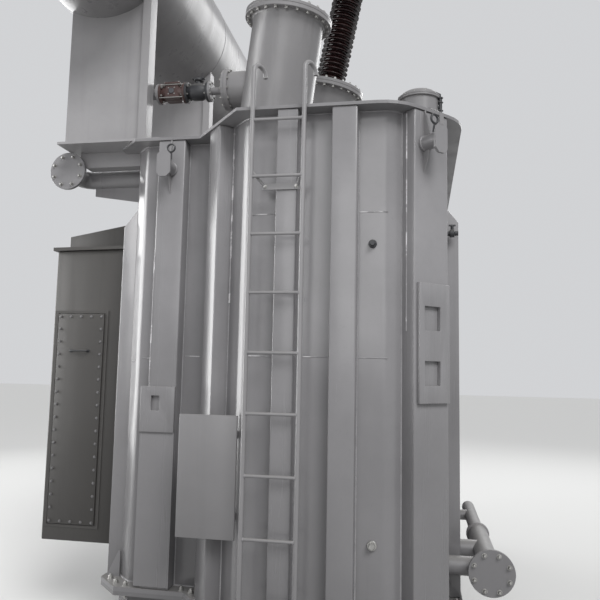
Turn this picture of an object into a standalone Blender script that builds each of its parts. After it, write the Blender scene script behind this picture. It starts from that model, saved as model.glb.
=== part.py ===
# Power transformer: ribbed bell tank on a flanged tray, cover with leaning high-voltage turrets,
# conservator on outboard supports, relay pipework, oil headers, cable box and access ladder.
# Metres, +Z up. The origin is on the floor below the middle of the tank; the ladder end faces -Y.

import bpy
import bmesh
from math import atan2, cos, pi, radians, sin, tan
from mathutils import Matrix, Vector

# Clearance between pieces that touch, and the run of a cutter past what it cuts
CLEAR = 0.0003
OVERRUN = 0.05

# Tank plan, measured at the edge of the flanges
HALF_WIDTH = 1.36
HALF_LENGTH = 2.50
CORNER_CUT = 0.43
LEFT_CUT = 0.20
RECESS_DEPTH = 0.49
RECESS_EDGE_X = -0.62
STEP_RUN = 0.43
CORNER_ROUND = 0.35
FLANGE_OVERHANG = 0.13
WALL_PLATE = 0.012

# Levels above the floor
SKID_HEIGHT = 0.16
BASE_PLATE = 0.04
TRAY_HEIGHT = 0.26
JOINT_FLANGE = 0.03
BELL_HEIGHT = 3.386
RIM_FLANGE = 0.010
COVER_PLATE = 0.012

# Skids, as rolled sections
SKID_X = 0.72
SKID_WIDTH = 0.22
SKID_WEB = 0.05
SKID_LEAF = 0.03
SKID_INSET = 0.25

# Stiffening ribs
RIB_DEPTH = 0.12
SIDE_RIB_WIDTH = 0.20
SIDE_RIB_PITCH = 0.62
BACK_RIB_PITCH = 0.58
LEFT_RIB_INSET = 0.51
LEFT_RIB_WIDTH = 0.22
STEP_RIB_WIDTH = 0.18
MID_RIB_A_X = 0.175
MID_RIB_A_WIDTH = 0.145
MID_RIB_B_X = 0.565
MID_RIB_B_WIDTH = 0.173
CORNER_RIB_WIDTH = 0.32
END_SEAM = 0.30
LEFT_SEAM = 0.012
RIB_TOP_DROP = 0.476
RIB_TAPER = 0.15

# Pad plates on the outer front ribs
PAD_THICKNESS = 0.03
LEFT_PAD_WIDTH = 0.27
LEFT_PAD_INSET = 0.488
LEFT_DOUBLER = 0.012
LEFT_DOUBLER_LOW = 0.54
LEFT_PAD_LOW = 1.65
LEFT_PAD_HIGH = 1.99
LEFT_POCKET = (0.065, 0.11)
LEFT_POCKET_INSET = 0.47
LEFT_POCKET_Z = 1.865
CORNER_PAD_WIDTH = 0.28
CORNER_PAD_LOW = 1.93
CORNER_PAD_HIGH = 2.72
CORNER_WINDOW = (0.145, 0.16)
CORNER_WINDOW_PITCH = 0.36
CORNER_WINDOW_X = -0.02
CORNER_WINDOW_Z = 2.125

# Lifting trunnions
TRUNNION_Z = 3.67
TRUNNION_RADIUS = 0.05
TRUNNION_LENGTH = 0.15
TRUNNION_SHIFT = 0.07
KEEPER_WIDTH = 0.11
KEEPER_HEIGHT = 0.20
KEEPER_CUT = 0.03
KEEPER = 0.02

# Ladder
LADDER_X = 0.121
LADDER_WIDTH = 0.356
LADDER_STANDOFF = 0.05
STILE_RADIUS = 0.016
RUNG_RADIUS = 0.011
RUNG_LOWEST = 0.667
RUNG_PITCH = 0.393
RUNG_COUNT = 9
LADDER_FOOT = 0.22
LADDER_TOP = 4.22
HOOK_RADIUS = 0.065
HOOK_TURN = radians(25)
HOOK_STEPS = 6
RUNG_SET = 0.003
LADDER_TIE_LOW = 0.33
LADDER_TIE_HIGH = 3.46
LADDER_BAR_X = 0.14
LADDER_BAR_Z = 3.358
LADDER_BAR_WIDTH = 0.26
LADDER_BAR_HEIGHT = 0.042
LADDER_BAR = 0.012
TIE_RADIUS = 0.010

# Blank mounting plate in front of the recess
PLATE_LEFT = -0.545
PLATE_RIGHT = -0.140
PLATE_LOW = 1.01
PLATE_HIGH = 1.82
PLATE_THICKNESS = 0.025
PLATE_BATTEN = 0.05
BATTEN_SHORT = 0.02
BATTEN_LUG = 0.05

# High-voltage turrets in a row along the middle of the cover, each leaning to the right
TURRET_X = (-0.12, -0.054, -0.12)
TURRET_SET = 0.78
TURRET_PITCH = 1.35
TURRET_RADIUS = 0.285
TURRET_FLANGE_RADIUS = 0.35
TURRET_FLANGE = 0.030
TURRET_LENGTH = 1.02
TURRET_LEAN = (radians(7.7), radians(11.7), radians(7.7))
TURRET_FORWARD = radians(4.0)
BLANK_PLATE = 0.025
NOZZLE_RADIUS = 0.145
NOZZLE_FLANGE_RADIUS = 0.165
NOZZLE_FLANGE = 0.03
NOZZLE_Z = 4.415
NOZZLE_END_X = -0.495

# Bushings
BUSHING_RADIUS = 0.085
SHED_RADIUS = 0.145
SHED_COUNT = 26
SHED_PITCH = 0.048
BUSHING_FOOT_RADIUS = 0.17
BUSHING_FOOT = 0.10
CAP_RADIUS = 0.075
CAP_HEIGHT = 0.12
STUD_RADIUS = 0.025
STUD_HEIGHT = 0.14

# Low blanked turret at the right corner
LOW_TURRET_RADIUS = 0.150
LOW_TURRET_INSET = 0.304
LOW_TURRET_SET = 0.72
LOW_TURRET_FLANGE_RADIUS = 0.165
LOW_TURRET_HEIGHT = 0.297
LOW_TURRET_FLANGE = 0.028
DISH_RISE = 0.055
DISH_FLAT_RADIUS = 0.04
DISH_STEPS = 4

# Conservator
CONS_Z = 5.65
CONS_OUTBOARD = 0.20
CONS_FRONT_SET = 0.05
CONS_BACK_SET = 0.75
CONS_RADIUS = 0.585
CONS_SKIN = 0.008
CONS_END = 0.012
CONS_END_RIM = 0.035
SUPPORT_COUNT = 3
SUPPORT_SET = 0.66
SUPPORT_BACK_SET = 0.51
SUPPORT_REACH = 0.50
SUPPORT_EDGE = 0.235
SUPPORT_FOOT = 0.02
SUPPORT_FOOT_EDGE = 0.38
ARM_REACH = 0.42
ARM_LOW = 3.80
ARM_WIDTH = 0.12
ARM_CHAMFER = 0.05
ARM_GAP = 0.03
SUPPORT_PLATE = 0.02
SUPPORT_POST = 0.07
SUPPORT_POST_DEPTH = 0.12
SUPPORT_FOOT_DEPTH = 0.26

# Relay pipework between conservator and first turret
PIPE_RADIUS = 0.045
PIPE_FLANGE_RADIUS = 0.085
PIPE_FLANGE = 0.02
RISER_INBOARD = 0.09
THIN_PIPE_RADIUS = 0.03
ELBOW_RADIUS = 0.12
RELAY_X = -1.08
RELAY_LENGTH = 0.225
RELAY_HEIGHT = 0.13
VALVE_LENGTH = 0.20
VALVE_RADIUS = 0.070
VALVE_NECK_RADIUS = 0.022
VALVE_HEAD_LOW = 0.085
VALVE_HEAD_HIGH = 0.140
VALVE_HEAD_WIDTH = 0.11
VALVE_HEAD_DEPTH = 0.08

# Oil headers
HEADER_FLANGE_RADIUS = 0.158
HEADER_FLANGE = 0.03
UPPER_HEADER_Z = 3.765
UPPER_HEADER_REACH = 0.505
UPPER_HEADER_SET = 0.72
UPPER_HEADER_RUN = 0.31
UPPER_HEADER_RADIUS = 0.075
UPPER_HEADER_BEND = 0.10
BRACKET_LENGTH = 0.53
BRACKET_DEEP = 0.155
BRACKET_SHALLOW = 0.075
BRACKET_PLATE = 0.014
LOWER_HEADER_Z = 0.77
LOWER_HEADER_REACH = 0.186
LOWER_HEADER_SET = 0.62
LOWER_HEADER_RADIUS = 0.08
LOWER_HEADER_JOINT = 1.15
LOWER_HEADER_LENGTH = 2.28
LOWER_HEADER_COLLAR_RADIUS = 0.095
THIN_HEADER_RADIUS = 0.06
BRANCH_RADIUS = 0.066
THIN_BRANCH_RADIUS = 0.048
BRANCH_GAP = 0.015

# Cable box on the left side
BOX_LOW = 0.66
BOX_HIGH = 3.14
BOX_REACH = 0.75
BOX_SET = 1.06
BOX_LENGTH = 0.92
BOX_ROOF_RISE = 0.012
BOX_ROOF = 0.03
BOX_HOOD_SET = 0.19
BOX_HOOD_LOW = 0.14
BOX_HOOD_SLOPE_SHARE = 0.18
BOX_PANEL_LEFT_EDGE = 0.05
BOX_PANEL_RIGHT_EDGE = 0.28
BOX_PANEL = 0.014
BOX_PANEL_LOW = 0.80
BOX_PANEL_HIGH = 2.58

# Facets of round pieces
ROUND_STEPS = 32
SHED_STEPS = 20
PIPE_STEPS = 24
BEND_STEPS = 6
CORNER_STEPS = 4

Z_BASE = SKID_HEIGHT
Z_TRAY = Z_BASE + BASE_PLATE
Z_JOINT = Z_TRAY + TRAY_HEIGHT
Z_BELL_FLANGE = Z_JOINT + JOINT_FLANGE
Z_BELL = Z_BELL_FLANGE + JOINT_FLANGE
Z_RIM = Z_BELL + BELL_HEIGHT
Z_COVER = Z_RIM + RIM_FLANGE
Z_TOP = Z_COVER + COVER_PLATE


def clear_scene():
    for obj in list(bpy.data.objects):
        bpy.data.objects.remove(obj, do_unlink=True)


def make_collection(name):
    group = bpy.data.collections.new(name)
    bpy.context.scene.collection.children.link(group)
    return group


clear_scene()
PARTS = make_collection("power_transformer")
CUTTERS = make_collection("construction")


def make_material(name, color, roughness, metallic):
    mat = bpy.data.materials.new(name)
    mat.use_nodes = True
    shader = mat.node_tree.nodes["Principled BSDF"]
    shader.inputs["Base Color"].default_value = (*color, 1.0)
    shader.inputs["Roughness"].default_value = roughness
    shader.inputs["Metallic"].default_value = metallic
    return mat


GREY = (0.42, 0.45, 0.45)
PAINT_ROUGHNESS = 0.38


def paint(name, tone=1.0):
    color = tuple(tone * c for c in GREY)
    return make_material(name + "_paint", color, PAINT_ROUGHNESS, 0.0)


def link_mesh(name, bm, mat, smooth=False, group=None):
    bmesh.ops.recalc_face_normals(bm, faces=bm.faces)
    mesh = bpy.data.meshes.new(name)
    bm.to_mesh(mesh)
    bm.free()
    if smooth:
        mesh.shade_smooth()
        mesh.set_sharp_from_angle(angle=radians(35))
    obj = bpy.data.objects.new(name, mesh)
    (group or PARTS).objects.link(obj)
    mesh.materials.append(mat)
    return obj


def extruded(name, outline, low, high, mat, frame=None, group=None):
    """A closed outline in local XY, pulled from low to high along local Z, then placed by frame."""
    bm = bmesh.new()
    face = bm.faces.new([bm.verts.new((x, y, low)) for x, y in outline])
    pulled = bmesh.ops.extrude_face_region(bm, geom=[face])
    verts = [v for v in pulled["geom"] if isinstance(v, bmesh.types.BMVert)]
    bmesh.ops.translate(bm, verts=verts, vec=(0, 0, high - low))
    if frame is not None:
        bmesh.ops.transform(bm, matrix=frame, verts=bm.verts)
    return link_mesh(name, bm, mat, group=group)


def rectangle(x_low, x_high, y_low, y_high):
    return [(x_low, y_low), (x_high, y_low), (x_high, y_high), (x_low, y_high)]


def block(name, x_span, y_span, z_span, mat, group=None):
    return extruded(name, rectangle(*x_span, *y_span), *z_span, mat, group=group)


# Local XY to world XZ, with local Z along world -Y
UPRIGHT = Matrix.Rotation(pi / 2, 4, "X")


def upright(name, outline, y_low, y_high, mat, group=None):
    """An outline drawn in X and Z, pulled along Y."""
    return extruded(name, outline, -y_high, -y_low, mat, frame=UPRIGHT, group=group)


def turned(name, profile, mat, frame=None, steps=ROUND_STEPS, group=None):
    """A profile of (radius, height) points, top to bottom on the outer side, turned about local Z."""
    mesh = bpy.data.meshes.new(name)
    verts = [(r, 0, z) for r, z in profile]
    mesh.from_pydata(verts, [(i, i + 1) for i in range(len(verts) - 1)], [])
    obj = bpy.data.objects.new(name, mesh)
    (group or PARTS).objects.link(obj)
    mesh.materials.append(mat)
    screw = obj.modifiers.new("Turn", "SCREW")
    screw.angle = 2 * pi
    screw.steps = steps
    screw.render_steps = steps
    screw.use_merge_vertices = True
    screw.merge_threshold = 0.0001
    screw.use_smooth_shade = True
    if frame is not None:
        obj.matrix_world = frame
    return obj


def drum(radius, low, high):
    return [(0, high), (radius, high), (radius, low), (0, low)]


def as_mesh(obj):
    """The evaluated object as a plain mesh object in the same place, with its caps welded."""
    graph = bpy.context.evaluated_depsgraph_get()
    mesh = bpy.data.meshes.new_from_object(obj.evaluated_get(graph))
    bm = bmesh.new()
    bm.from_mesh(mesh)
    bmesh.ops.remove_doubles(bm, verts=bm.verts, dist=0.00005)
    bmesh.ops.recalc_face_normals(bm, faces=bm.faces)
    bm.to_mesh(mesh)
    bm.free()
    name = obj.name
    matrix = obj.matrix_world.copy()
    group = obj.users_collection[0]
    mats = [slot.material for slot in obj.material_slots]
    bpy.data.objects.remove(obj, do_unlink=True)
    new = bpy.data.objects.new(name, mesh)
    mesh.materials.clear()
    for mat in mats:
        mesh.materials.append(mat)
    group.objects.link(new)
    new.matrix_world = matrix
    return new


def combine(target, tools, operation):
    for tool in tools:
        tool.hide_render = True
        tool.display_type = "WIRE"
        step = target.modifiers.new(operation.title() + " " + tool.name, "BOOLEAN")
        step.operation = operation
        step.solver = "EXACT"
        step.object = tool
    return target


def rod(name, points, radius, mat, group=None, sides=2, smooth_path=False):
    """A round bar or pipe along points."""
    curve = bpy.data.curves.new(name, "CURVE")
    curve.dimensions = "3D"
    curve.bevel_depth = radius
    curve.bevel_resolution = sides
    curve.use_fill_caps = True
    spline = curve.splines.new("POLY")
    spline.points.add(len(points) - 1)
    for point, place in zip(spline.points, points):
        point.co = (*place, 1)
    obj = bpy.data.objects.new(name, curve)
    (group or PARTS).objects.link(obj)
    curve.materials.append(mat)
    bpy.context.view_layer.update()
    return as_mesh(obj)


def along(start, direction):
    """A frame at start whose local Z points along direction."""
    turn = Vector(direction).to_track_quat("Z", "Y").to_matrix().to_4x4()
    return Matrix.Translation(Vector(start)) @ turn


def inset(points, distance):
    """A closed anticlockwise outline moved inwards by distance, with mitred corners."""
    count = len(points)
    lines = []
    for i in range(count):
        a = Vector(points[i])
        b = Vector(points[(i + 1) % count])
        run = (b - a).normalized()
        normal = Vector((-run.y, run.x))
        lines.append((a + distance * normal, run))
    result = []
    for i in range(count):
        p, u = lines[i - 1]
        q, v = lines[i]
        gap = q - p
        cross = u.x * v.y - u.y * v.x
        share = (gap.x * v.y - gap.y * v.x) / cross
        corner = p + share * u
        result.append((corner.x, corner.y))
    return result


def rounded(points, picked, radius):
    """An anticlockwise outline with the picked corners turned into arcs."""
    result = []
    for i, point in enumerate(points):
        if i not in picked:
            result.append(point)
            continue
        corner = Vector(point)
        to_last = (Vector(points[i - 1]) - corner).normalized()
        to_next = (Vector(points[(i + 1) % len(points)]) - corner).normalized()
        half = to_last.angle(to_next) / 2
        middle = corner + (to_last + to_next).normalized() * radius / sin(half)
        spoke = corner + to_last * radius / tan(half) - middle
        for k in range(CORNER_STEPS + 1):
            spot = middle + Matrix.Rotation((pi - 2 * half) * k / CORNER_STEPS, 2) @ spoke
            result.append((spot.x, spot.y))
    return result


def rim_outline():
    """The flange edge, anticlockwise from the left front corner."""
    recess_y = -HALF_LENGTH + RECESS_DEPTH
    return [
        (-HALF_WIDTH, recess_y + LEFT_CUT),
        (-HALF_WIDTH + LEFT_CUT, recess_y),
        (RECESS_EDGE_X, recess_y),
        (RECESS_EDGE_X + STEP_RUN, -HALF_LENGTH),
        (HALF_WIDTH - CORNER_CUT, -HALF_LENGTH),
        (HALF_WIDTH, -HALF_LENGTH + CORNER_CUT),
        (HALF_WIDTH, HALF_LENGTH - CORNER_CUT),
        (HALF_WIDTH - CORNER_CUT, HALF_LENGTH),
        (-HALF_WIDTH + CORNER_CUT, HALF_LENGTH),
        (-HALF_WIDTH, HALF_LENGTH - CORNER_CUT),
    ]


RIM = rim_outline()
EDGE = rounded(RIM, range(4, 10), CORNER_ROUND)
WALL = inset(RIM, FLANGE_OVERHANG)
WALL_BACK = inset(RIM, FLANGE_OVERHANG + WALL_PLATE)
CORE = inset(RIM, FLANGE_OVERHANG + WALL_PLATE + CLEAR)
WALL_X = HALF_WIDTH - FLANGE_OVERHANG
WALL_FRONT = -HALF_LENGTH + FLANGE_OVERHANG


def skids():
    half = SKID_WIDTH / 2
    web = SKID_WEB / 2
    section = [
        (-half, 0), (half, 0), (half, SKID_LEAF), (web, SKID_LEAF),
        (web, SKID_HEIGHT - SKID_LEAF), (half, SKID_HEIGHT - SKID_LEAF),
        (half, SKID_HEIGHT), (-half, SKID_HEIGHT), (-half, SKID_HEIGHT - SKID_LEAF),
        (-web, SKID_HEIGHT - SKID_LEAF), (-web, SKID_LEAF), (-half, SKID_LEAF),
    ]
    reach = HALF_LENGTH - SKID_INSET
    for name, x, recess in (("left_skid", -SKID_X, RECESS_DEPTH), ("middle_skid", 0, 0), ("right_skid", SKID_X, 0)):
        placed = [(x + px, pz) for px, pz in section]
        upright(name, placed, recess - reach, reach, paint(name, 0.6))


def tray():
    extruded("base_plate", EDGE, Z_BASE + CLEAR, Z_TRAY, paint("base_plate", 0.8))
    extruded("lower_tray", WALL, Z_TRAY + CLEAR, Z_JOINT - CLEAR, paint("lower_tray", 0.9))
    extruded("tray_flange", EDGE, Z_JOINT, Z_BELL_FLANGE - CLEAR, paint("tray_flange", 0.95))
    extruded("bell_flange", EDGE, Z_BELL_FLANGE, Z_BELL - CLEAR, paint("bell_flange"))


def wall_strip(chain):
    """The plan of a bent wall plate over the named corners of the wall, plate thickness inside."""
    outer = [WALL[i] for i in chain]
    inner = [WALL_BACK[i] for i in chain]
    return outer, inner


def front_wall():
    outer, inner = wall_strip(range(6))
    low_y = WALL[0][1] + LEFT_SEAM - CLEAR
    high_y = WALL[5][1] + END_SEAM - CLEAR
    inner_x = WALL_X - WALL_PLATE
    plan = [(-WALL_X, low_y)] + outer + [(WALL_X, high_y), (inner_x, high_y)]
    plan = plan + list(reversed(inner)) + [(-inner_x, low_y)]
    extruded("front_wall", plan, Z_BELL, Z_RIM - CLEAR, paint("front_wall"))


def rear_wall():
    outer, inner = wall_strip(range(6, 10))
    end_y = WALL[6][1] - END_SEAM
    inner_x = WALL_X - WALL_PLATE
    plan = [(WALL_X, end_y)] + outer + [(-WALL_X, end_y), (-inner_x, end_y)]
    plan = plan + list(reversed(inner)) + [(inner_x, end_y)]
    extruded("rear_wall", plan, Z_BELL, Z_RIM - CLEAR, paint("rear_wall"))
    back_y = HALF_LENGTH - FLANGE_OVERHANG + CLEAR
    half = SIDE_RIB_WIDTH / 2
    for i, place in enumerate((-1, 0, 1)):
        x = place * BACK_RIB_PITCH
        name = "rear_rib_%d" % (i + 1)
        block(name, (x - half, x + half), (back_y, back_y + RIB_DEPTH),
              (Z_BELL, Z_RIM - CLEAR), paint(name))


def side_run(side):
    """Where a side wall plate starts and ends, and the middle of each of its ribs."""
    end = WALL[6][1] - END_SEAM - CLEAR
    start = WALL[5][1] + END_SEAM
    if side < 0:
        start = WALL[0][1] + LEFT_SEAM
    count = int((end - start - SIDE_RIB_WIDTH) / SIDE_RIB_PITCH) + 1
    first = (start + end - (count - 1) * SIDE_RIB_PITCH) / 2
    if side < 0:
        first = start + WALL_PLATE + SIDE_RIB_WIDTH / 2
    return start, end, [first + i * SIDE_RIB_PITCH for i in range(count)]


def side_wall(name, side):
    """A side wall plate with its welded box ribs; side is -1 on the left and 1 on the right."""
    start, end, places = side_run(side)
    mat = paint(name)
    high = Z_RIM - CLEAR
    x_span = sorted((side * (WALL_X - WALL_PLATE), side * WALL_X))
    plate = block(name, x_span, (start, end), (Z_BELL, high), mat)
    lap = WALL_X - WALL_PLATE / 2
    face = WALL_X + RIB_DEPTH
    shoulder = high - RIB_TOP_DROP
    section = [(lap, Z_BELL), (face, Z_BELL), (face, shoulder - RIB_TAPER), (WALL_X, shoulder), (lap, shoulder)]
    outline = [(side * x, z) for x, z in section]
    half = SIDE_RIB_WIDTH / 2
    ribs = []
    for i, y in enumerate(places):
        ribs.append(upright("%s_rib_%d" % (name, i + 1), outline, y - half, y + half, mat, group=CUTTERS))
    combine(plate, ribs, "UNION")


def rib_frame(a, b, share=0.5):
    """A frame on the wall line from a to b: local X along it, local Y outwards."""
    start = Vector(a)
    end = Vector(b)
    run = (end - start).normalized()
    place = start.lerp(end, share)
    turn = Matrix.Rotation(atan2(run.y, run.x), 4, "Z")
    return Matrix.Translation((place.x, place.y, 0)) @ turn


def front_rib(name, frame, width, offset=0.0):
    half = width / 2
    plan = rectangle(offset - half, offset + half, -RIB_DEPTH - CLEAR, -CLEAR)
    extruded(name, plan, Z_BELL, Z_RIM - CLEAR, paint(name), frame=frame)


LEFT_FRAME = Matrix.Translation((0, WALL[1][1], 0))
MID_FRAME = Matrix.Translation((0, WALL_FRONT, 0))
STEP_FRAME = rib_frame(WALL[2], WALL[3])
CORNER_FRAME = rib_frame(WALL[4], WALL[5])
BACK_RIGHT_FRAME = rib_frame(WALL[6], WALL[7])
BACK_LEFT_FRAME = rib_frame(WALL[8], WALL[9])


def front_ribs():
    front_rib("left_rib", LEFT_FRAME, LEFT_RIB_WIDTH, -HALF_WIDTH + LEFT_RIB_INSET)
    front_rib("step_rib", STEP_FRAME, STEP_RIB_WIDTH)
    front_rib("middle_rib_a", MID_FRAME, MID_RIB_A_WIDTH, MID_RIB_A_X)
    front_rib("middle_rib_b", MID_FRAME, MID_RIB_B_WIDTH, MID_RIB_B_X)
    front_rib("corner_rib", CORNER_FRAME, CORNER_RIB_WIDTH)
    front_rib("rear_corner_rib_right", BACK_RIGHT_FRAME, CORNER_RIB_WIDTH)
    front_rib("rear_corner_rib_left", BACK_LEFT_FRAME, CORNER_RIB_WIDTH)


def pad(name, frame, x_span, z_span, windows):
    """A plate on a rib face with rectangular windows cut through it."""
    face = -RIB_DEPTH - 2 * CLEAR
    plan = rectangle(*x_span, face - PAD_THICKNESS, face)
    plate = extruded(name, plan, *z_span, paint(name), frame=frame)
    cutters = []
    for i, (x, z, width, height) in enumerate(windows):
        hole = rectangle(x - width / 2, x + width / 2, face - PAD_THICKNESS - OVERRUN, face + OVERRUN)
        cutters.append(extruded("%s_window_%d" % (name, i + 1), hole, z - height / 2, z + height / 2,
                                plate.data.materials[0], frame=frame, group=CUTTERS))
    combine(plate, cutters, "DIFFERENCE")


def pads():
    half = LEFT_PAD_WIDTH / 2
    middle = -HALF_WIDTH + LEFT_PAD_INSET
    span = (middle - half, middle + half)
    face = -RIB_DEPTH - 2 * CLEAR
    extruded("left_rib_doubler", rectangle(*span, face - LEFT_DOUBLER, face), LEFT_DOUBLER_LOW,
             LEFT_PAD_LOW - CLEAR, paint("left_rib_doubler", 1.05), frame=LEFT_FRAME)
    pad("left_pad", LEFT_FRAME, span, (LEFT_PAD_LOW, LEFT_PAD_HIGH),
        [(-HALF_WIDTH + LEFT_POCKET_INSET, LEFT_POCKET_Z, *LEFT_POCKET)])
    half = CORNER_PAD_WIDTH / 2
    windows = []
    for i in range(2):
        windows.append((CORNER_WINDOW_X, CORNER_WINDOW_Z + i * CORNER_WINDOW_PITCH, *CORNER_WINDOW))
    pad("corner_pad", CORNER_FRAME, (-half, half), (CORNER_PAD_LOW, CORNER_PAD_HIGH), windows)


def trunnion(name, frame, offset=0.0):
    """A lifting trunnion on a rib: a round shaft with an upright keeper plate across its end."""
    face = RIB_DEPTH + 2 * CLEAR
    outward = Matrix.Rotation(pi / 2, 4, "X")
    place = frame @ Matrix.Translation((offset, -face, TRUNNION_Z)) @ outward
    mat = paint(name)
    shaft = as_mesh(turned(name, drum(TRUNNION_RADIUS, 0, TRUNNION_LENGTH), mat, frame=place, steps=PIPE_STEPS))
    x = KEEPER_WIDTH / 2
    z = KEEPER_HEIGHT / 2
    cut = KEEPER_CUT
    outline = [
        (x - cut, -z), (x, cut - z), (x, z - cut), (x - cut, z),
        (cut - x, z), (-x, z - cut), (-x, cut - z), (cut - x, -z),
    ]
    keeper = extruded(name + "_keeper", outline, TRUNNION_LENGTH - KEEPER / 2, TRUNNION_LENGTH + KEEPER / 2,
                      mat, frame=place, group=CUTTERS)
    combine(shaft, [keeper], "UNION")


def trunnions():
    trunnion("trunnion_front_left", LEFT_FRAME, -HALF_WIDTH + LEFT_RIB_INSET)
    trunnion("trunnion_front_right", CORNER_FRAME, -TRUNNION_SHIFT)
    trunnion("trunnion_rear_right", BACK_RIGHT_FRAME)
    trunnion("trunnion_rear_left", BACK_LEFT_FRAME)


def tank():
    extruded("bell_tank", CORE, Z_BELL, Z_RIM - CLEAR, paint("bell_tank"))
    extruded("rim_flange", EDGE, Z_RIM, Z_COVER - CLEAR, paint("rim_flange"))
    extruded("cover", EDGE, Z_COVER, Z_TOP, paint("cover"))


def stile_path(x, y):
    """Up a ladder stile and over the hook at its top."""
    path = [(x, y, LADDER_FOOT)]
    z = LADDER_TOP - HOOK_RADIUS
    for k in range(HOOK_STEPS + 1):
        angle = pi * k / HOOK_STEPS
        reach = HOOK_RADIUS * (1 - cos(angle))
        path.append((x + reach * sin(HOOK_TURN), y + reach * cos(HOOK_TURN), z + HOOK_RADIUS * sin(angle)))
    return path


def ladder():
    """Hooked stiles with rungs, tied to the tray below and to a flat bar on a front rib above."""
    mat = paint("ladder", 1.1)
    y = -HALF_LENGTH - LADDER_STANDOFF
    half = LADDER_WIDTH / 2
    wall = WALL_FRONT - CLEAR
    left = rod("ladder", stile_path(LADDER_X - half, y), STILE_RADIUS, mat)
    tools = [rod("ladder_stile", stile_path(LADDER_X + half, y), STILE_RADIUS, mat, group=CUTTERS)]
    for i in range(RUNG_COUNT):
        z = RUNG_LOWEST + i * RUNG_PITCH
        ends = [(LADDER_X - half, y - RUNG_SET, z), (LADDER_X + half, y - RUNG_SET, z)]
        tools.append(rod("ladder_rung_%d" % (i + 1), ends, RUNG_RADIUS, mat, group=CUTTERS, sides=1))
    bar = LADDER_BAR_WIDTH / 2
    face = WALL_FRONT - RIB_DEPTH - 2 * CLEAR
    tools.append(block("ladder_bar", (LADDER_BAR_X - bar, LADDER_BAR_X + bar), (face - LADDER_BAR, face),
                       (LADDER_BAR_Z - LADDER_BAR_HEIGHT / 2, LADDER_BAR_Z + LADDER_BAR_HEIGHT / 2), mat,
                       group=CUTTERS))
    for side in (-1, 1):
        x = LADDER_X + side * half
        low = [(x, y, LADDER_TIE_LOW), (x, wall, LADDER_TIE_LOW)]
        high = [(x, y, LADDER_TIE_HIGH),
                (LADDER_BAR_X + side * (bar - 2 * TIE_RADIUS), face - LADDER_BAR, LADDER_BAR_Z)]
        for ends in (low, high):
            tools.append(rod("ladder_tie", ends, TIE_RADIUS, mat, group=CUTTERS, sides=1))
    combine(left, tools, "UNION")


def step_wall_y(x):
    """Where the slanting wall of the recess stands at x."""
    left, right = WALL[2], WALL[3]
    return left[1] + (x - left[0]) / (right[0] - left[0]) * (right[1] - left[1])


def mounting_plate():
    """A blank plate across the recess, on two battens lugged to the slanting wall."""
    mat = paint("mounting_plate", 1.1)
    face = WALL_FRONT - CLEAR
    back = face - PLATE_THICKNESS
    plate = block("mounting_plate", (PLATE_LEFT, PLATE_RIGHT), (back - PLATE_THICKNESS, back),
                  (PLATE_LOW, PLATE_HIGH), mat)
    left = PLATE_LEFT + BATTEN_SHORT
    right = PLATE_RIGHT - BATTEN_SHORT
    lug = right - BATTEN_LUG
    front = back - PLATE_THICKNESS / 2
    outline = [
        (left, front), (right, front), (right, step_wall_y(right) - 2 * CLEAR),
        (lug, step_wall_y(lug) - 2 * CLEAR), (lug, face), (left, face),
    ]
    battens = []
    margin = (PLATE_HIGH - PLATE_LOW) / 6
    for i, z in enumerate((PLATE_LOW + margin, PLATE_HIGH - margin)):
        battens.append(extruded("plate_batten_%d" % (i + 1), outline, z - PLATE_BATTEN / 2, z + PLATE_BATTEN / 2,
                                mat, group=CUTTERS))
    combine(plate, battens, "UNION")


def turret_y(index):
    return -HALF_LENGTH + TURRET_SET + index * TURRET_PITCH


def lean_direction(index):
    lean = TURRET_LEAN[index]
    return Vector((sin(lean), -sin(TURRET_FORWARD), cos(lean))).normalized()


def turret_frame(index):
    return along((TURRET_X[index], turret_y(index), Z_TOP), lean_direction(index))


def turret(index, name):
    """A leaning turret: a flanged tube cut level where it stands on the cover."""
    below = TURRET_RADIUS / 2
    profile = [
        (0, TURRET_LENGTH),
        (TURRET_FLANGE_RADIUS, TURRET_LENGTH),
        (TURRET_FLANGE_RADIUS, TURRET_LENGTH - TURRET_FLANGE),
        (TURRET_RADIUS, TURRET_LENGTH - TURRET_FLANGE),
        (TURRET_RADIUS, -below),
        (0, -below),
    ]
    mat = paint(name)
    body = as_mesh(turned(name, profile, mat, frame=turret_frame(index)))
    x = TURRET_X[index]
    y = turret_y(index)
    reach = 2 * TURRET_RADIUS
    floor = block(name + "_level", (x - reach, x + reach), (y - reach, y + reach),
                  (Z_TOP - reach, Z_TOP + CLEAR), mat, group=CUTTERS)
    combine(body, [floor], "DIFFERENCE")
    return body


def nozzle(body):
    """The flanged oil nozzle on the left of the first turret."""
    mat = body.data.materials[0]
    start = (TURRET_X[0], turret_y(0), NOZZLE_Z)
    length = TURRET_X[0] - NOZZLE_END_X
    profile = [
        (0, length),
        (NOZZLE_FLANGE_RADIUS, length),
        (NOZZLE_FLANGE_RADIUS, length - NOZZLE_FLANGE),
        (NOZZLE_RADIUS, length - NOZZLE_FLANGE),
        (NOZZLE_RADIUS, 0),
        (0, 0),
    ]
    stub = turned("turret_nozzle", profile, mat, frame=along(start, (-1, 0, 0)), group=CUTTERS)
    stub = as_mesh(stub)
    combine(body, [stub], "UNION")


def turrets():
    first = turret(0, "turret_a")
    nozzle(first)
    turret(1, "turret_b")
    turret(2, "turret_c")
    top = TURRET_LENGTH + CLEAR
    for index, name in ((0, "turret_a_blank"), (2, "turret_c_blank")):
        turned(name, drum(TURRET_FLANGE_RADIUS, top, top + BLANK_PLATE), paint(name), frame=turret_frame(index))


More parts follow.
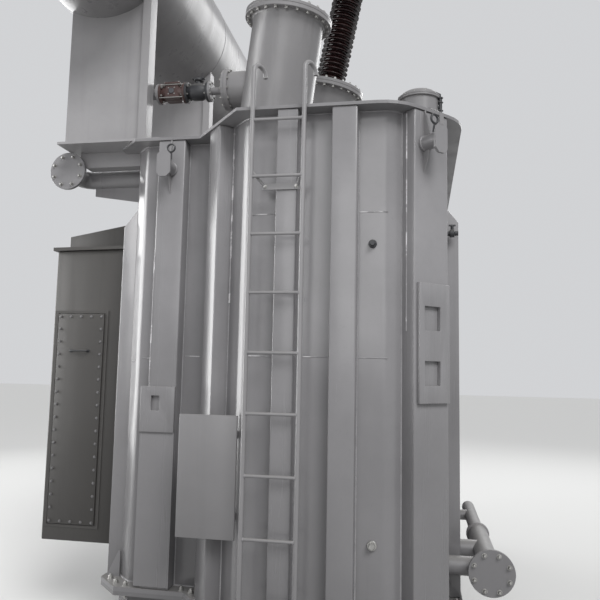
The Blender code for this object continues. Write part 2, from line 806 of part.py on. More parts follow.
def bushing_profile(base):
    """Foot flange, sheds and neck, listed from the top down."""
    shed_base = base + BUSHING_FOOT
    shed_top = shed_base + SHED_COUNT * SHED_PITCH
    points = [(0, shed_top), (BUSHING_RADIUS, shed_top)]
    for i in reversed(range(SHED_COUNT)):
        low = shed_base + i * SHED_PITCH
        points += [(BUSHING_RADIUS, low + SHED_PITCH * 0.72), (SHED_RADIUS, low + SHED_PITCH * 0.30),
                   (SHED_RADIUS, low + SHED_PITCH * 0.16)]
    points += [(BUSHING_RADIUS, shed_base), (0, shed_base)]
    return points, shed_base, shed_top


def bushing(index, tag):
    frame = turret_frame(index)
    base = TURRET_LENGTH + CLEAR
    points, shed_base, shed_top = bushing_profile(base)
    brown = make_material("bushing_%s_glaze" % tag, (0.045, 0.022, 0.018), 0.16, 0.0)
    turned("bushing_" + tag, points, brown, frame=frame, steps=SHED_STEPS)
    foot = [
        (0, shed_base - CLEAR),
        (BUSHING_FOOT_RADIUS * 0.8, shed_base - CLEAR),
        (BUSHING_FOOT_RADIUS, base + BUSHING_FOOT * 0.4),
        (TURRET_FLANGE_RADIUS, base + BUSHING_FOOT * 0.3),
        (TURRET_FLANGE_RADIUS, base),
        (0, base),
    ]
    turned("bushing_%s_foot" % tag, foot, paint("bushing_%s_foot" % tag, 0.9), frame=frame)
    cap_low = shed_top + CLEAR
    cap = [
        (0, cap_low + CAP_HEIGHT + STUD_HEIGHT),
        (STUD_RADIUS, cap_low + CAP_HEIGHT + STUD_HEIGHT),
        (STUD_RADIUS, cap_low + CAP_HEIGHT),
        (CAP_RADIUS, cap_low + CAP_HEIGHT * 0.8),
        (CAP_RADIUS, cap_low),
        (0, cap_low),
    ]
    metal = make_material("bushing_%s_cap_metal" % tag, (0.6, 0.6, 0.6), 0.3, 0.9)
    turned("bushing_%s_cap" % tag, cap, metal, frame=frame, steps=PIPE_STEPS)


def low_turret():
    """A short flanged turret with a dished blank cover."""
    height = LOW_TURRET_HEIGHT
    outer = LOW_TURRET_RADIUS
    dish = []
    for k in range(DISH_STEPS + 1):
        angle = pi / 2 * k / DISH_STEPS
        dish.append((DISH_FLAT_RADIUS + (outer - DISH_FLAT_RADIUS) * sin(angle), height + DISH_RISE * cos(angle)))
    profile = [(0, height + DISH_RISE)] + dish + [
        (LOW_TURRET_FLANGE_RADIUS, height),
        (LOW_TURRET_FLANGE_RADIUS, height - LOW_TURRET_FLANGE),
        (LOW_TURRET_RADIUS, height - LOW_TURRET_FLANGE),
        (LOW_TURRET_RADIUS, CLEAR),
        (0, CLEAR),
    ]
    place = (HALF_WIDTH - LOW_TURRET_INSET, -HALF_LENGTH + LOW_TURRET_SET, Z_TOP)
    turned("low_turret", profile, paint("low_turret"), frame=Matrix.Translation(place))


CONS_X = -HALF_WIDTH - CONS_OUTBOARD
CONS_FRONT_Y = -HALF_LENGTH + CONS_FRONT_SET
CONS_BACK_Y = HALF_LENGTH - CONS_BACK_SET


def conservator():
    mat = paint("conservator_shell")
    length = CONS_BACK_Y - CONS_FRONT_Y
    frame = along((CONS_X, CONS_FRONT_Y, CONS_Z), (0, 1, 0))
    inner = CONS_RADIUS - CONS_SKIN
    profile = [(inner, length), (CONS_RADIUS, length), (CONS_RADIUS, 0), (inner, 0), (inner, length)]
    turned("conservator_shell", profile, mat, frame=frame)
    rim = CONS_RADIUS + CONS_END_RIM
    for name, low in (("conservator_front_end", -CONS_END - CLEAR), ("conservator_rear_end", length + CLEAR)):
        turned(name, drum(rim, low, low + CONS_END), paint(name), frame=frame)


def support(index):
    """An outboard support: an arm under the rim, a foot plate over it, a saddle plate and its post."""
    name = "conservator_support_%d" % (index + 1)
    mat = paint(name, 1.1)
    first = -HALF_LENGTH + SUPPORT_SET
    last = CONS_BACK_Y - SUPPORT_BACK_SET
    y = first + index * (last - first) / (SUPPORT_COUNT - 1)
    arm_y = max(y, WALL[0][1] + ARM_WIDTH / 2 + ARM_GAP)
    arm_half = ARM_WIDTH / 2
    left = -HALF_WIDTH - SUPPORT_REACH
    right = -HALF_WIDTH + SUPPORT_EDGE
    foot_low = Z_TOP + CLEAR
    foot_high = foot_low + SUPPORT_FOOT
    lap = SUPPORT_FOOT / 2
    depth = SUPPORT_FOOT_DEPTH / 2
    foot = block(name, (left, -HALF_WIDTH + SUPPORT_FOOT_EDGE), (y - depth, arm_y + depth),
                 (foot_low, foot_high), mat)
    outboard = -HALF_WIDTH - 2 * CLEAR
    tip = -HALF_WIDTH - ARM_REACH
    wall = -WALL_X - CLEAR
    under = Z_RIM - CLEAR
    arm_outline = [
        (tip, ARM_LOW + ARM_CHAMFER), (tip + ARM_CHAMFER, ARM_LOW), (wall, ARM_LOW), (wall, under),
        (outboard, under), (outboard, foot_low + lap), (tip, foot_low + lap),
    ]
    arm = upright(name + "_arm", arm_outline, arm_y - arm_half, arm_y + arm_half, mat, group=CUTTERS)
    half = SUPPORT_PLATE / 2
    plate = block(name + "_plate", (left, right - half), (y - half, y + half),
                  (foot_high - lap, CONS_Z), mat, group=CUTTERS)
    post = block(name + "_post", (right - SUPPORT_POST, right),
                 (y - SUPPORT_POST_DEPTH / 2, y + SUPPORT_POST_DEPTH / 2), (foot_high - lap, CONS_Z),
                 mat, group=CUTTERS)
    combine(foot, [arm, plate, post], "UNION")
    seat = turned(name + "_seat", drum(CONS_RADIUS + CLEAR, -OVERRUN, SUPPORT_FOOT_DEPTH + OVERRUN), mat,
                  frame=along((CONS_X, y - depth, CONS_Z), (0, 1, 0)), group=CUTTERS, steps=2 * ROUND_STEPS)
    combine(foot, [as_mesh(seat)], "DIFFERENCE")


def supports():
    for index in range(SUPPORT_COUNT):
        support(index)


def flanged_pipe(name, start, direction, length, radius, flange_radius, flange, mat, group=None,
                 steps=PIPE_STEPS):
    """A straight pipe with a flange at each end."""
    profile = [
        (0, length), (flange_radius, length), (flange_radius, length - flange), (radius, length - flange),
        (radius, flange), (flange_radius, flange), (flange_radius, 0), (0, 0),
    ]
    return turned(name, profile, mat, frame=along(start, direction), steps=steps, group=group)


def relay_line():
    """Elbow below the conservator, relay, valve and pipe to the nozzle of the first turret."""
    y = turret_y(0)
    x_nozzle = NOZZLE_END_X - CLEAR
    riser_x = CONS_X + RISER_INBOARD
    mat = paint("relay_elbow", 0.9)
    relay_x = RELAY_X
    arc = []
    for i in range(BEND_STEPS + 1):
        angle = pi / 2 * i / BEND_STEPS
        arc.append((riser_x + ELBOW_RADIUS * (1 - cos(angle)), y, NOZZLE_Z + ELBOW_RADIUS * (1 - sin(angle))))
    path = [(riser_x, y, CONS_Z - CONS_RADIUS / 2)] + arc + [(relay_x, y, NOZZLE_Z)]
    elbow = rod("relay_elbow", path, PIPE_RADIUS, mat, sides=4)
    collar = turned("relay_elbow_flange", drum(PIPE_FLANGE_RADIUS, 0, PIPE_FLANGE), mat,
                    frame=along((relay_x - PIPE_FLANGE, y, NOZZLE_Z), (1, 0, 0)), group=CUTTERS,
                    steps=PIPE_STEPS)
    combine(elbow, [as_mesh(collar)], "UNION")
    shell = turned("elbow_trim", drum(CONS_RADIUS + CLEAR, -1.5 * CONS_RADIUS, 1.5 * CONS_RADIUS), mat,
                   frame=along((CONS_X, y, CONS_Z), (0, 1, 0)), group=CUTTERS, steps=2 * ROUND_STEPS)
    combine(elbow, [as_mesh(shell)], "DIFFERENCE")
    relay_start = relay_x + CLEAR
    red = make_material("gas_relay_paint", (0.16, 0.05, 0.04), 0.4, 0.0)
    relay = flanged_pipe("gas_relay", (relay_start, y, NOZZLE_Z), (1, 0, 0), RELAY_LENGTH, PIPE_RADIUS,
                         PIPE_FLANGE_RADIUS, PIPE_FLANGE, red)
    relay = as_mesh(relay)
    margin = PIPE_FLANGE + PIPE_FLANGE / 2
    case = block("relay_case", (relay_start + margin, relay_start + RELAY_LENGTH - margin),
                 (y - RELAY_HEIGHT / 2, y + RELAY_HEIGHT / 2),
                 (NOZZLE_Z - RELAY_HEIGHT / 2, NOZZLE_Z + RELAY_HEIGHT / 2), red, group=CUTTERS)
    combine(relay, [case], "UNION")
    valve_start = relay_start + RELAY_LENGTH + CLEAR
    valve_mat = paint("relay_valve", 0.5)
    valve = as_mesh(flanged_pipe("relay_valve", (valve_start, y, NOZZLE_Z), (1, 0, 0), VALVE_LENGTH,
                                 VALVE_RADIUS, PIPE_FLANGE_RADIUS, PIPE_FLANGE, valve_mat))
    valve_x = valve_start + VALVE_LENGTH / 2
    head_z = NOZZLE_Z + VALVE_HEAD_LOW
    neck = as_mesh(turned("valve_neck", drum(VALVE_NECK_RADIUS, 0, VALVE_HEAD_HIGH - VALVE_NECK_RADIUS), valve_mat,
                          frame=along((valve_x, y, NOZZLE_Z), (0, 0, 1)), group=CUTTERS, steps=SHED_STEPS))
    head = block("valve_head", (valve_x - VALVE_HEAD_WIDTH / 2, valve_x + VALVE_HEAD_WIDTH / 2),
                 (y - VALVE_HEAD_DEPTH / 2, y + VALVE_HEAD_DEPTH / 2), (head_z, NOZZLE_Z + VALVE_HEAD_HIGH),
                 valve_mat, group=CUTTERS)
    combine(valve, [neck, head], "UNION")
    pipe_start = valve_start + VALVE_LENGTH + CLEAR
    pipe_length = x_nozzle - pipe_start
    profile = [
        (0, pipe_length), (NOZZLE_FLANGE_RADIUS, pipe_length),
        (NOZZLE_FLANGE_RADIUS, pipe_length - PIPE_FLANGE), (THIN_PIPE_RADIUS, pipe_length - PIPE_FLANGE),
        (THIN_PIPE_RADIUS, PIPE_FLANGE), (PIPE_FLANGE_RADIUS, PIPE_FLANGE), (PIPE_FLANGE_RADIUS, 0), (0, 0),
    ]
    turned("relay_pipe", profile, paint("relay_pipe", 0.9),
           frame=along((pipe_start, y, NOZZLE_Z), (1, 0, 0)), steps=PIPE_STEPS)


def upper_header():
    """The blanked oil outlet high on the left: a flanged elbow into the side wall on its bracket."""
    mat = paint("upper_header")
    x = -HALF_WIDTH - UPPER_HEADER_REACH
    z = UPPER_HEADER_Z
    wall = -WALL_X - CLEAR
    face_y = -HALF_LENGTH + UPPER_HEADER_SET
    pipe_y = face_y + UPPER_HEADER_RUN
    bend = UPPER_HEADER_BEND
    path = [(x, face_y + HEADER_FLANGE / 2, z)]
    for i in range(BEND_STEPS + 1):
        angle = pi / 2 * i / BEND_STEPS
        path.append((x + bend * (1 - cos(angle)), pipe_y - bend * (1 - sin(angle)), z))
    path.append((wall, pipe_y, z))
    pipe = rod("upper_header", path, UPPER_HEADER_RADIUS, mat, sides=4)
    flange = as_mesh(turned("upper_header_flange", drum(HEADER_FLANGE_RADIUS, 0, HEADER_FLANGE), mat,
                            frame=along((x, face_y, z), (0, 1, 0)), group=CUTTERS))
    lap = BRACKET_PLATE / 2
    high = z - UPPER_HEADER_RADIUS + lap
    root = wall - CLEAR
    tip = root - BRACKET_LENGTH
    plate = [(tip, high - BRACKET_SHALLOW), (root, high - BRACKET_DEEP), (root, high), (tip, high)]
    bracket = upright("upper_header_bracket", plate, pipe_y - lap, pipe_y + lap, mat, group=CUTTERS)
    combine(pipe, [flange, bracket], "UNION")


def lower_header():
    """The oil header low on the right, blanked in front, stepped down behind its joint."""
    mat = paint("lower_header")
    x = HALF_WIDTH + LOWER_HEADER_REACH
    z = LOWER_HEADER_Z
    start = -HALF_LENGTH + LOWER_HEADER_SET
    length = LOWER_HEADER_LENGTH
    joint = LOWER_HEADER_JOINT
    profile = [
        (0, length), (THIN_HEADER_RADIUS, length), (THIN_HEADER_RADIUS, joint),
        (LOWER_HEADER_COLLAR_RADIUS, joint), (LOWER_HEADER_COLLAR_RADIUS, joint - HEADER_FLANGE),
        (LOWER_HEADER_RADIUS, joint - HEADER_FLANGE), (LOWER_HEADER_RADIUS, HEADER_FLANGE),
        (HEADER_FLANGE_RADIUS, HEADER_FLANGE), (HEADER_FLANGE_RADIUS, 0), (0, 0),
    ]
    pipe = as_mesh(turned("lower_header", profile, mat, frame=along((x, start, z), (0, 1, 0)), steps=PIPE_STEPS))
    reach = x - WALL_X - CLEAR
    places = side_run(1)[2]
    before_first = places[0] - SIDE_RIB_WIDTH / 2 - BRANCH_RADIUS - BRANCH_GAP
    branches = [(before_first, BRANCH_RADIUS)]
    for i, radius in ((1, BRANCH_RADIUS), (3, THIN_BRANCH_RADIUS)):
        branches.append((places[i] - SIDE_RIB_PITCH / 2, radius))
    tools = []
    for i, (y, radius) in enumerate(branches):
        branch = turned("lower_header_branch_%d" % (i + 1), drum(radius, 0, reach), mat,
                        frame=along((x, y, z), (-1, 0, 0)), group=CUTTERS, steps=PIPE_STEPS)
        tools.append(as_mesh(branch))
    combine(pipe, tools, "UNION")


def cable_box():
    """A cable box on the side ribs, with a bolted front panel, a flat roof and a sloped hood on it."""
    mat = paint("cable_box", 0.75)
    left = -HALF_WIDTH - BOX_REACH
    right = -(WALL_X + RIB_DEPTH + CLEAR)
    front = -HALF_LENGTH + BOX_SET
    back = front + BOX_LENGTH
    outline = [(left, BOX_LOW), (right, BOX_LOW), (right, BOX_HIGH + BOX_ROOF_RISE), (left, BOX_HIGH)]
    upright("cable_box", outline, front, back, mat)
    block("cable_box_panel", (left + BOX_PANEL_LEFT_EDGE, right - BOX_PANEL_RIGHT_EDGE),
          (front - BOX_PANEL - CLEAR, front - CLEAR), (BOX_PANEL_LOW, BOX_PANEL_HIGH),
          paint("cable_box_panel", 0.7))
    over = BOX_ROOF
    gap = 2 * CLEAR
    roof = [
        (left - over, BOX_HIGH + gap), (right, BOX_HIGH + BOX_ROOF_RISE + 2 * gap),
        (right, BOX_HIGH + BOX_ROOF_RISE + BOX_ROOF), (left - over, BOX_HIGH + BOX_ROOF),
    ]
    upright("cable_box_roof", roof, front - over, back + over, paint("cable_box_roof", 0.8))
    base = BOX_HIGH + BOX_ROOF + gap
    eave = base + BOX_HOOD_LOW
    hood = [
        (left, base), (right, base + BOX_ROOF_RISE),
        (right, eave + BOX_HOOD_SLOPE_SHARE * (right - left)), (left, eave),
    ]
    upright("cable_box_hood", hood, front + BOX_HOOD_SET, back, paint("cable_box_hood", 0.7))


skids()
tray()
tank()
front_wall()
rear_wall()
side_wall("left_wall", -1)
side_wall("right_wall", 1)
front_ribs()
pads()
trunnions()
ladder()
mounting_plate()
turrets()
bushing(1, "b")
low_turret()
conservator()
supports()
relay_line()
upper_header()
lower_header()
cable_box()
bpy.context.view_layer.update()
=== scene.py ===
from math import atan2, cos, pi, radians, sin, tan

import bmesh
import bpy
from mathutils import Matrix, Vector
from mathutils.bvhtree import BVHTree


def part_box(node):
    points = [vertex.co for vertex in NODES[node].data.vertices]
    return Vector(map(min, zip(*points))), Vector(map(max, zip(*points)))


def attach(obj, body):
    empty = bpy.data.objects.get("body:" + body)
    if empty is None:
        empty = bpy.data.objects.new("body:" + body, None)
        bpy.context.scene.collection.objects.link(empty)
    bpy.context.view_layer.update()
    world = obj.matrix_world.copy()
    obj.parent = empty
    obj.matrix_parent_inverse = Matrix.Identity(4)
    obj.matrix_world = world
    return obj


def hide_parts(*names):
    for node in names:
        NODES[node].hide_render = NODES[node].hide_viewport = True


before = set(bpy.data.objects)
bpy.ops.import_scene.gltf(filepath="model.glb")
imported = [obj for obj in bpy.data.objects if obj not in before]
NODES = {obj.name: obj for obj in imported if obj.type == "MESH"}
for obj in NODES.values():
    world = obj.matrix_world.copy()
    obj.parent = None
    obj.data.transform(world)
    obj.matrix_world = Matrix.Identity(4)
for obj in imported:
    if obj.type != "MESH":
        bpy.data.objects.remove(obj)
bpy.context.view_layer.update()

# The photograph's frame and the camera solved from it
PHOTO_PX = 600
FOCAL_PX = 649.8
SENSOR_MM = 36.0
CAMERA_PLACE = Vector((1.06, -6.67, 2.13))
CAMERA_YAW = radians(-10.51)
CAMERA_PITCH = radians(6.17)
CAMERA_ROLL = radians(1.14)
CAMERA_FAR = 200

# Sizes of the tank's plan that the pieces follow
FLANGE_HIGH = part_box("bell_flange")[1]
HALF_WIDTH = FLANGE_HIGH.x
HALF_LENGTH = FLANGE_HIGH.y
CORNER_CUT = 0.43
LEFT_CUT = 0.20
RECESS_DEPTH = 0.49
RECESS_EDGE_X = -0.62
STEP_RUN = 0.43
OVERHANG = 0.13
WALL_PLATE = 0.012
RIB_DEPTH = 0.12
WALL_X = HALF_WIDTH - OVERHANG
WALL_FRONT = -HALF_LENGTH + OVERHANG
Z_BELL = FLANGE_HIGH.z
Z_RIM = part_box("rim_flange")[0].z
Z_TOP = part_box("cover")[1].z
GAP = 0.0003

# Turrets on the cover, from the front to the rear
TURRET_X = (-0.12, -0.054, -0.12)
TURRET_LEAN = (radians(7.7), radians(11.7), radians(7.7))
TURRET_FORWARD = radians(4)
TURRET_SET = 0.78
TURRET_PITCH = 1.35
TURRET_LENGTH = 1.02
TURRET_RADIUS = 0.285
TURRET_FLANGE_RADIUS = 0.35
TURRET_FLANGE = 0.030
BLANK_PLATE = 0.025
NOZZLE_Z = 4.415
NOZZLE_RADIUS = 0.145
NOZZLE_FLANGE_RADIUS = 0.165
NOZZLE_FLANGE = 0.03
NOZZLE_END_X = -0.495

# How finely round shapes are cut
SHARP = radians(32)
DRUM_STEPS = 128
FINE_STEPS = 96
FLANGE_STEPS = 64
ROUND_STEPS = 48
PIPE_STEPS = 40
SMALL_STEPS = 16
WASHER_STEPS = 12
BEAD_STEPS = 8

# Height over its seat and size of a weld bead round a turned body
FOOT_BEAD = (0.004, 0.007)
WALL_BEAD = (0.005, 0.006)
FLANGE_BEAD = (0.004, 0.005)

UP = Vector((0, 0, 1))
FRONT = Vector((0, -1, 0))
BACK = Vector((0, 1, 0))
RIGHT = Vector((1, 0, 0))
LEFT = Vector((-1, 0, 0))
TURNED_OVER = Matrix.Rotation(pi, 4, "X")
UPRIGHT = Matrix.Rotation(pi / 2, 4, "X")


def make_camera():
    level = Vector((cos(CAMERA_YAW), -sin(CAMERA_YAW), 0))
    forward = Vector((sin(CAMERA_YAW) * cos(CAMERA_PITCH), cos(CAMERA_YAW) * cos(CAMERA_PITCH),
                      sin(CAMERA_PITCH)))
    upright = level.cross(forward)
    right = cos(CAMERA_ROLL) * level + sin(CAMERA_ROLL) * upright
    up = cos(CAMERA_ROLL) * upright - sin(CAMERA_ROLL) * level
    data = bpy.data.cameras.new("camera")
    data.sensor_width = SENSOR_MM
    data.lens = SENSOR_MM * FOCAL_PX / PHOTO_PX
    data.clip_end = CAMERA_FAR
    camera = bpy.data.objects.new("camera", data)
    turn = Matrix((right, up, -forward)).transposed()
    camera.matrix_world = Matrix.Translation(CAMERA_PLACE) @ turn.to_4x4()
    bpy.context.scene.collection.objects.link(camera)
    bpy.context.scene.camera = camera


# Floor, backdrop and light

WORLD_COLOR = (0.82, 0.83, 0.85, 1)
WORLD_STRENGTH = 0.50
BACKDROP_STRENGTH = 0.78
FLOOR_SIZE = 60
FLOOR_BOUNCE = (0.34, 0.34, 0.335)
FLOOR_COLOR = (0.64, 0.64, 0.63)
FLOOR_ROUGHNESS = 0.75
KEY_PLACE = (6.5, -9.5, 12.5)
KEY_AIM = (0, 0, 2)
KEY_STRENGTH = 2.2
KEY_SPREAD = radians(28)
LAMP_AIM = (0, 0, 2.8)
# Name, place, energy, width, height, and whether it lights matt surfaces or only shows in glossy ones
LAMPS = (
    ("fill_lamp", (0.5, -11.0, 5.0), 172, 5.0, 5.0, True),
    ("window_lamp", (-8.8, -3.6, 4.2), 150, 1.8, 6.0, True),
    ("rim_lamp", (5.0, 9.0, 9.0), 420, 6.0, 6.0, True),
    ("back_lamp", (-7.0, 7.0, 7.0), 300, 6.0, 6.0, True),
    ("window_reflector", (-9.6, -1.6, 3.6), 1350, 10.5, 6.5, False),
)


def feed(node, inputs):
    """Links a shader node's inputs, by name or number, to sockets or sets them to values."""
    for key, value in inputs.items():
        if isinstance(value, bpy.types.NodeSocket):
            node.id_data.links.new(value, node.inputs[key])
        else:
            node.inputs[key].default_value = value


def add(beside, kind, inputs, **settings):
    """A shader node in the tree of another node or socket."""
    node = beside.id_data.nodes.new("ShaderNode" + kind)
    for key, value in settings.items():
        setattr(node, key, value)
    feed(node, inputs)
    return node


def seen_rays(beside):
    """1 for rays that show a surface to the camera, directly, mirrored or through glass."""
    path = add(beside, "LightPath", {})
    total = path.outputs["Is Camera Ray"]
    for ray in ("Is Glossy Ray", "Is Transmission Ray"):
        total = add(path, "Math", {0: total, 1: path.outputs[ray]}, operation="MAXIMUM").outputs["Value"]
    return total


def aimed(name, light, place, aim):
    lamp = bpy.data.objects.new(name, light)
    lamp.location = place
    lamp.rotation_euler = (Vector(aim) - Vector(place)).to_track_quat("-Z", "Y").to_euler()
    bpy.context.scene.collection.objects.link(lamp)
    return lamp


def make_stage():
    scene = bpy.context.scene
    scene.view_settings.view_transform = "Standard"
    scene.world = bpy.data.worlds.new("studio")
    scene.world.use_nodes = True
    nodes = scene.world.node_tree.nodes
    glow = nodes["Background"]
    feed(glow, {"Color": WORLD_COLOR, "Strength": WORLD_STRENGTH})
    backdrop = add(glow, "Background", {"Color": WORLD_COLOR, "Strength": BACKDROP_STRENGTH})
    mix = add(glow, "MixShader", {"Fac": seen_rays(glow), 1: glow.outputs["Background"],
                                  2: backdrop.outputs["Background"]})
    feed(nodes["World Output"], {"Surface": mix.outputs["Shader"]})
    mesh = bpy.data.meshes.new("floor")
    bm = bmesh.new()
    bmesh.ops.create_grid(bm, x_segments=1, y_segments=1, size=FLOOR_SIZE)
    bm.to_mesh(mesh)
    bm.free()
    floor = bpy.data.objects.new("floor", mesh)
    scene.collection.objects.link(floor)
    mat, shader = new_material("pale_floor")
    tone = mixed(seen_rays(shader), FLOOR_BOUNCE, FLOOR_COLOR)
    feed(shader, {"Base Color": tone, "Roughness": FLOOR_ROUGHNESS})
    mesh.materials.append(mat)
    sun = bpy.data.lights.new("key_light", "SUN")
    sun.energy = KEY_STRENGTH
    sun.angle = KEY_SPREAD
    aimed("key_light", sun, KEY_PLACE, KEY_AIM)
    for name, place, energy, width, height, matt in LAMPS:
        light = bpy.data.lights.new(name, "AREA")
        light.shape = "RECTANGLE"
        light.energy = energy
        light.size = width
        light.size_y = height
        aimed(name, light, place, LAMP_AIM).visible_diffuse = matt


# Materials

MIX_FACTOR, MIX_FIRST, MIX_SECOND, MIX_RESULT = 0, 6, 7, 2


def new_material(name):
    mat = bpy.data.materials.new(name)
    mat.use_nodes = True
    return mat, mat.node_tree.nodes["Principled BSDF"]


def shade(color, share):
    return tuple(share * c for c in color)


def own_place(shader):
    """The place on the object in metres."""
    return add(shader, "TexCoord", {}).outputs["Object"]


def noise(spot, scale, detail, roughness, stretch=(1, 1, 1)):
    """A noise texture, stretched along some axes."""
    vector = add(spot, "Mapping", {"Vector": spot, "Scale": stretch}).outputs["Vector"]
    return add(spot, "TexNoise", {"Vector": vector, "Scale": scale, "Detail": detail,
                                  "Roughness": roughness}).outputs["Fac"]


def ranged(value, low, high, to_low=0.0, to_high=1.0):
    return add(value, "MapRange", {"Value": value, "From Min": low, "From Max": high, "To Min": to_low,
                                   "To Max": to_high}).outputs["Result"]


def mixed(factor, first, second):
    """A colour mix; first and second are colours or sockets."""
    colors = [(*value, 1) if isinstance(value, tuple) else value for value in (first, second)]
    return add(factor, "Mix", {MIX_FACTOR: factor, MIX_FIRST: colors[0], MIX_SECOND: colors[1]},
               data_type="RGBA").outputs[MIX_RESULT]


def bumped(height, strength, distance, below=None):
    inputs = {"Strength": strength, "Distance": distance, "Height": height}
    if below is not None:
        inputs["Normal"] = below
    return add(height, "Bump", inputs).outputs["Normal"]


def height_of(vector):
    return add(vector, "SeparateXYZ", {"Vector": vector}).outputs["Z"]


def upward(beside):
    """How far a surface faces up, from 0 on walls to 1 on tops."""
    return ranged(height_of(add(beside, "NewGeometry", {}).outputs["Normal"]), 0.35, 0.95)


def low_shade_mask(spot):
    """How near the ground a place is, from 0 at the top of the painted low shade to 1 at the ground; it masks
    that painted shade.
    """
    return ranged(height_of(spot), LOW_SHADE_TOP, 0.0)


def times(first, second):
    return add(first, "Math", {0: first, 1: second}, operation="MULTIPLY").outputs["Value"]


DUST = (0.26, 0.25, 0.235)
# Pale colour of the painted glints, patches that stand in for highlights on weld beads
PAINTED_GLINT_COLOR = (0.62, 0.61, 0.62)
# Height from which the painted shade darkens the paint towards the ground
LOW_SHADE_TOP = 2.9


def paint(name, color, rough=(0.30, 0.46), wave=0.35, grime=0.5, dust=0.55):
    """Sprayed machine paint: broad mottling, runs down the plates, painted shade darkening it towards the
    ground, dust on tops, orange peel.
    """
    mat, shader = new_material(name)
    spot = own_place(shader)
    broad = noise(spot, 0.9, 5, 0.6)
    runs = noise(spot, 1.0, 6, 0.62, (7.0, 7.0, 0.32))
    specks = noise(spot, 38, 4, 0.7)
    peel = noise(spot, 190, 2, 0.5)
    ripple = noise(spot, 1.6, 2, 0.45, (1.0, 1.0, 0.55))
    tone = mixed(ranged(broad, 0.30, 0.70), shade(color, 0.84), shade(color, 1.14))
    tone = mixed(times(ranged(runs, 0.56, 0.80), grime), tone, shade(color, 0.62))
    tone = mixed(times(ranged(specks, 0.60, 0.78), 0.35), tone, shade(color, 0.72))
    # Painted shade: the paint darkens towards the ground.
    tone = mixed(times(low_shade_mask(spot), 0.80), tone, shade(color, 0.45))
    settle = times(upward(shader), ranged(broad, 0.25, 0.7, 0.4, dust))
    tone = mixed(settle, tone, DUST)
    normal = bumped(specks, 0.10, 0.0015, bumped(ripple, wave, 0.035))
    feed(shader, {"Base Color": tone, "Roughness": ranged(runs, 0.3, 0.7, *rough),
                  "Normal": bumped(peel, 0.16, 0.0006, normal)})
    return mat


def metal(name, color, rough=0.34, metallic=0.85):
    """Plated steel or aluminium with fine scratches and dull patches."""
    mat, shader = new_material(name)
    spot = own_place(shader)
    patches = noise(spot, 22, 5, 0.65)
    scratches = noise(spot, 60, 3, 0.6, (1, 1, 12))
    tone = mixed(ranged(patches, 0.35, 0.68), shade(color, 0.68), color)
    dull = ranged(patches, 0.3, 0.7, rough + 0.16, rough - 0.06)
    feed(shader, {"Base Color": tone, "Roughness": dull, "Metallic": metallic,
                  "Normal": bumped(scratches, 0.12, 0.0008)})
    return mat


def glaze(name):
    """Brown porcelain glaze, darker in patches, with dust on the upper sides of the sheds."""
    mat, shader = new_material(name)
    spot = own_place(shader)
    patches = noise(spot, 7, 4, 0.6)
    pits = noise(spot, 140, 2, 0.5)
    tone = mixed(ranged(patches, 0.3, 0.7), (0.010, 0.0045, 0.0050), (0.030, 0.012, 0.012))
    settle = times(upward(shader), ranged(patches, 0.3, 0.7, 0.04, 0.16))
    tone = mixed(settle, tone, (0.09, 0.075, 0.07))
    feed(shader, {"Base Color": tone, "Roughness": ranged(patches, 0.3, 0.7, 0.16, 0.30),
                  "Specular IOR Level": 0.32, "Normal": bumped(pits, 0.08, 0.0006)})
    return mat


def weld(name, color, glint):
    """A painted weld bead, rippled along its run; glint is how much of the bead gets painted glints, pale
    patches that stand in for highlights.
    """
    mat, shader = new_material(name)
    spot = own_place(shader)
    ripple = noise(spot, 150, 2, 0.5)
    patches = noise(spot, 11, 4, 0.65)
    tone = mixed(ranged(patches, 0.35, 0.60), shade(color, 0.86), shade(color, 1.08))
    tone = mixed(ranged(patches, 0.50, 0.60, 0.0, glint), tone, PAINTED_GLINT_COLOR)
    feed(shader, {"Base Color": tone, "Roughness": ranged(patches, 0.35, 0.65, 0.44, 0.22),
                  "Normal": bumped(ripple, 0.5, 0.003)})
    return mat


GREY = (0.250, 0.245, 0.252)
LIGHT_GREY = (0.245, 0.240, 0.245)
MATS = {
    "tank": paint("tank_grey_paint", GREY),
    "wall": paint("wall_grey_paint", GREY, (0.15, 0.29), 0.75),
    "rib": paint("rib_grey_paint", shade(GREY, 1.02), (0.18, 0.32), 0.55),
    "cover": paint("cover_grey_paint", shade(GREY, 0.95), dust=0.70),
    "base": paint("base_grey_paint", shade(GREY, 0.80), (0.36, 0.56), grime=0.8),
    "skid": paint("skid_grey_paint", shade(GREY, 0.66), (0.42, 0.62), grime=0.9),
    "turret": paint("turret_grey_paint", LIGHT_GREY, (0.26, 0.38), 0.20),
    "conservator": paint("conservator_grey_paint", LIGHT_GREY, (0.24, 0.36), 0.28),
    "fitting": paint("fitting_grey_paint", shade(LIGHT_GREY, 1.06), (0.28, 0.42), 0.12),
    # Saddle plates: a much lighter copy of the grey, painted light for the light that falls on them
    "saddle": paint("saddle_lit_grey_paint", shade(LIGHT_GREY, 1.30), (0.26, 0.40), 0.50, 0.35),
    "plate": paint("blank_plate_paint", shade(LIGHT_GREY, 0.98), (0.34, 0.50), 0.20, 0.35),
    # Cable box: a far darker copy of the grey, painted shade for the shadow the box stands in
    "box": paint("cable_box_shaded_paint", (0.047, 0.044, 0.041), (0.46, 0.64), 0.40),
    "pipe": paint("pipe_grey_paint", shade(GREY, 0.96), (0.26, 0.42), 0.10),
    "red": paint("relay_brown_paint", (0.064, 0.035, 0.032), (0.30, 0.48), 0.08, 0.6),
    "dark": paint("valve_dark_paint", (0.030, 0.031, 0.035), (0.34, 0.52), 0.08),
    "bolt": metal("plated_bolts", (0.44, 0.435, 0.42)),
    "cap": metal("cap_aluminium", (0.60, 0.60, 0.61), 0.28),
    "glass": metal("sight_glass", (0.10, 0.10, 0.11), 0.20, 0.2),
    "porcelain": glaze("brown_porcelain"),
    "weld": weld("painted_weld", shade(GREY, 1.04), 0.0),
    # Seam beads: a lighter tone with painted glints that stand in for their highlights
    "bead": weld("weld_painted_glints", shade(GREY, 1.12), 1.0),
}
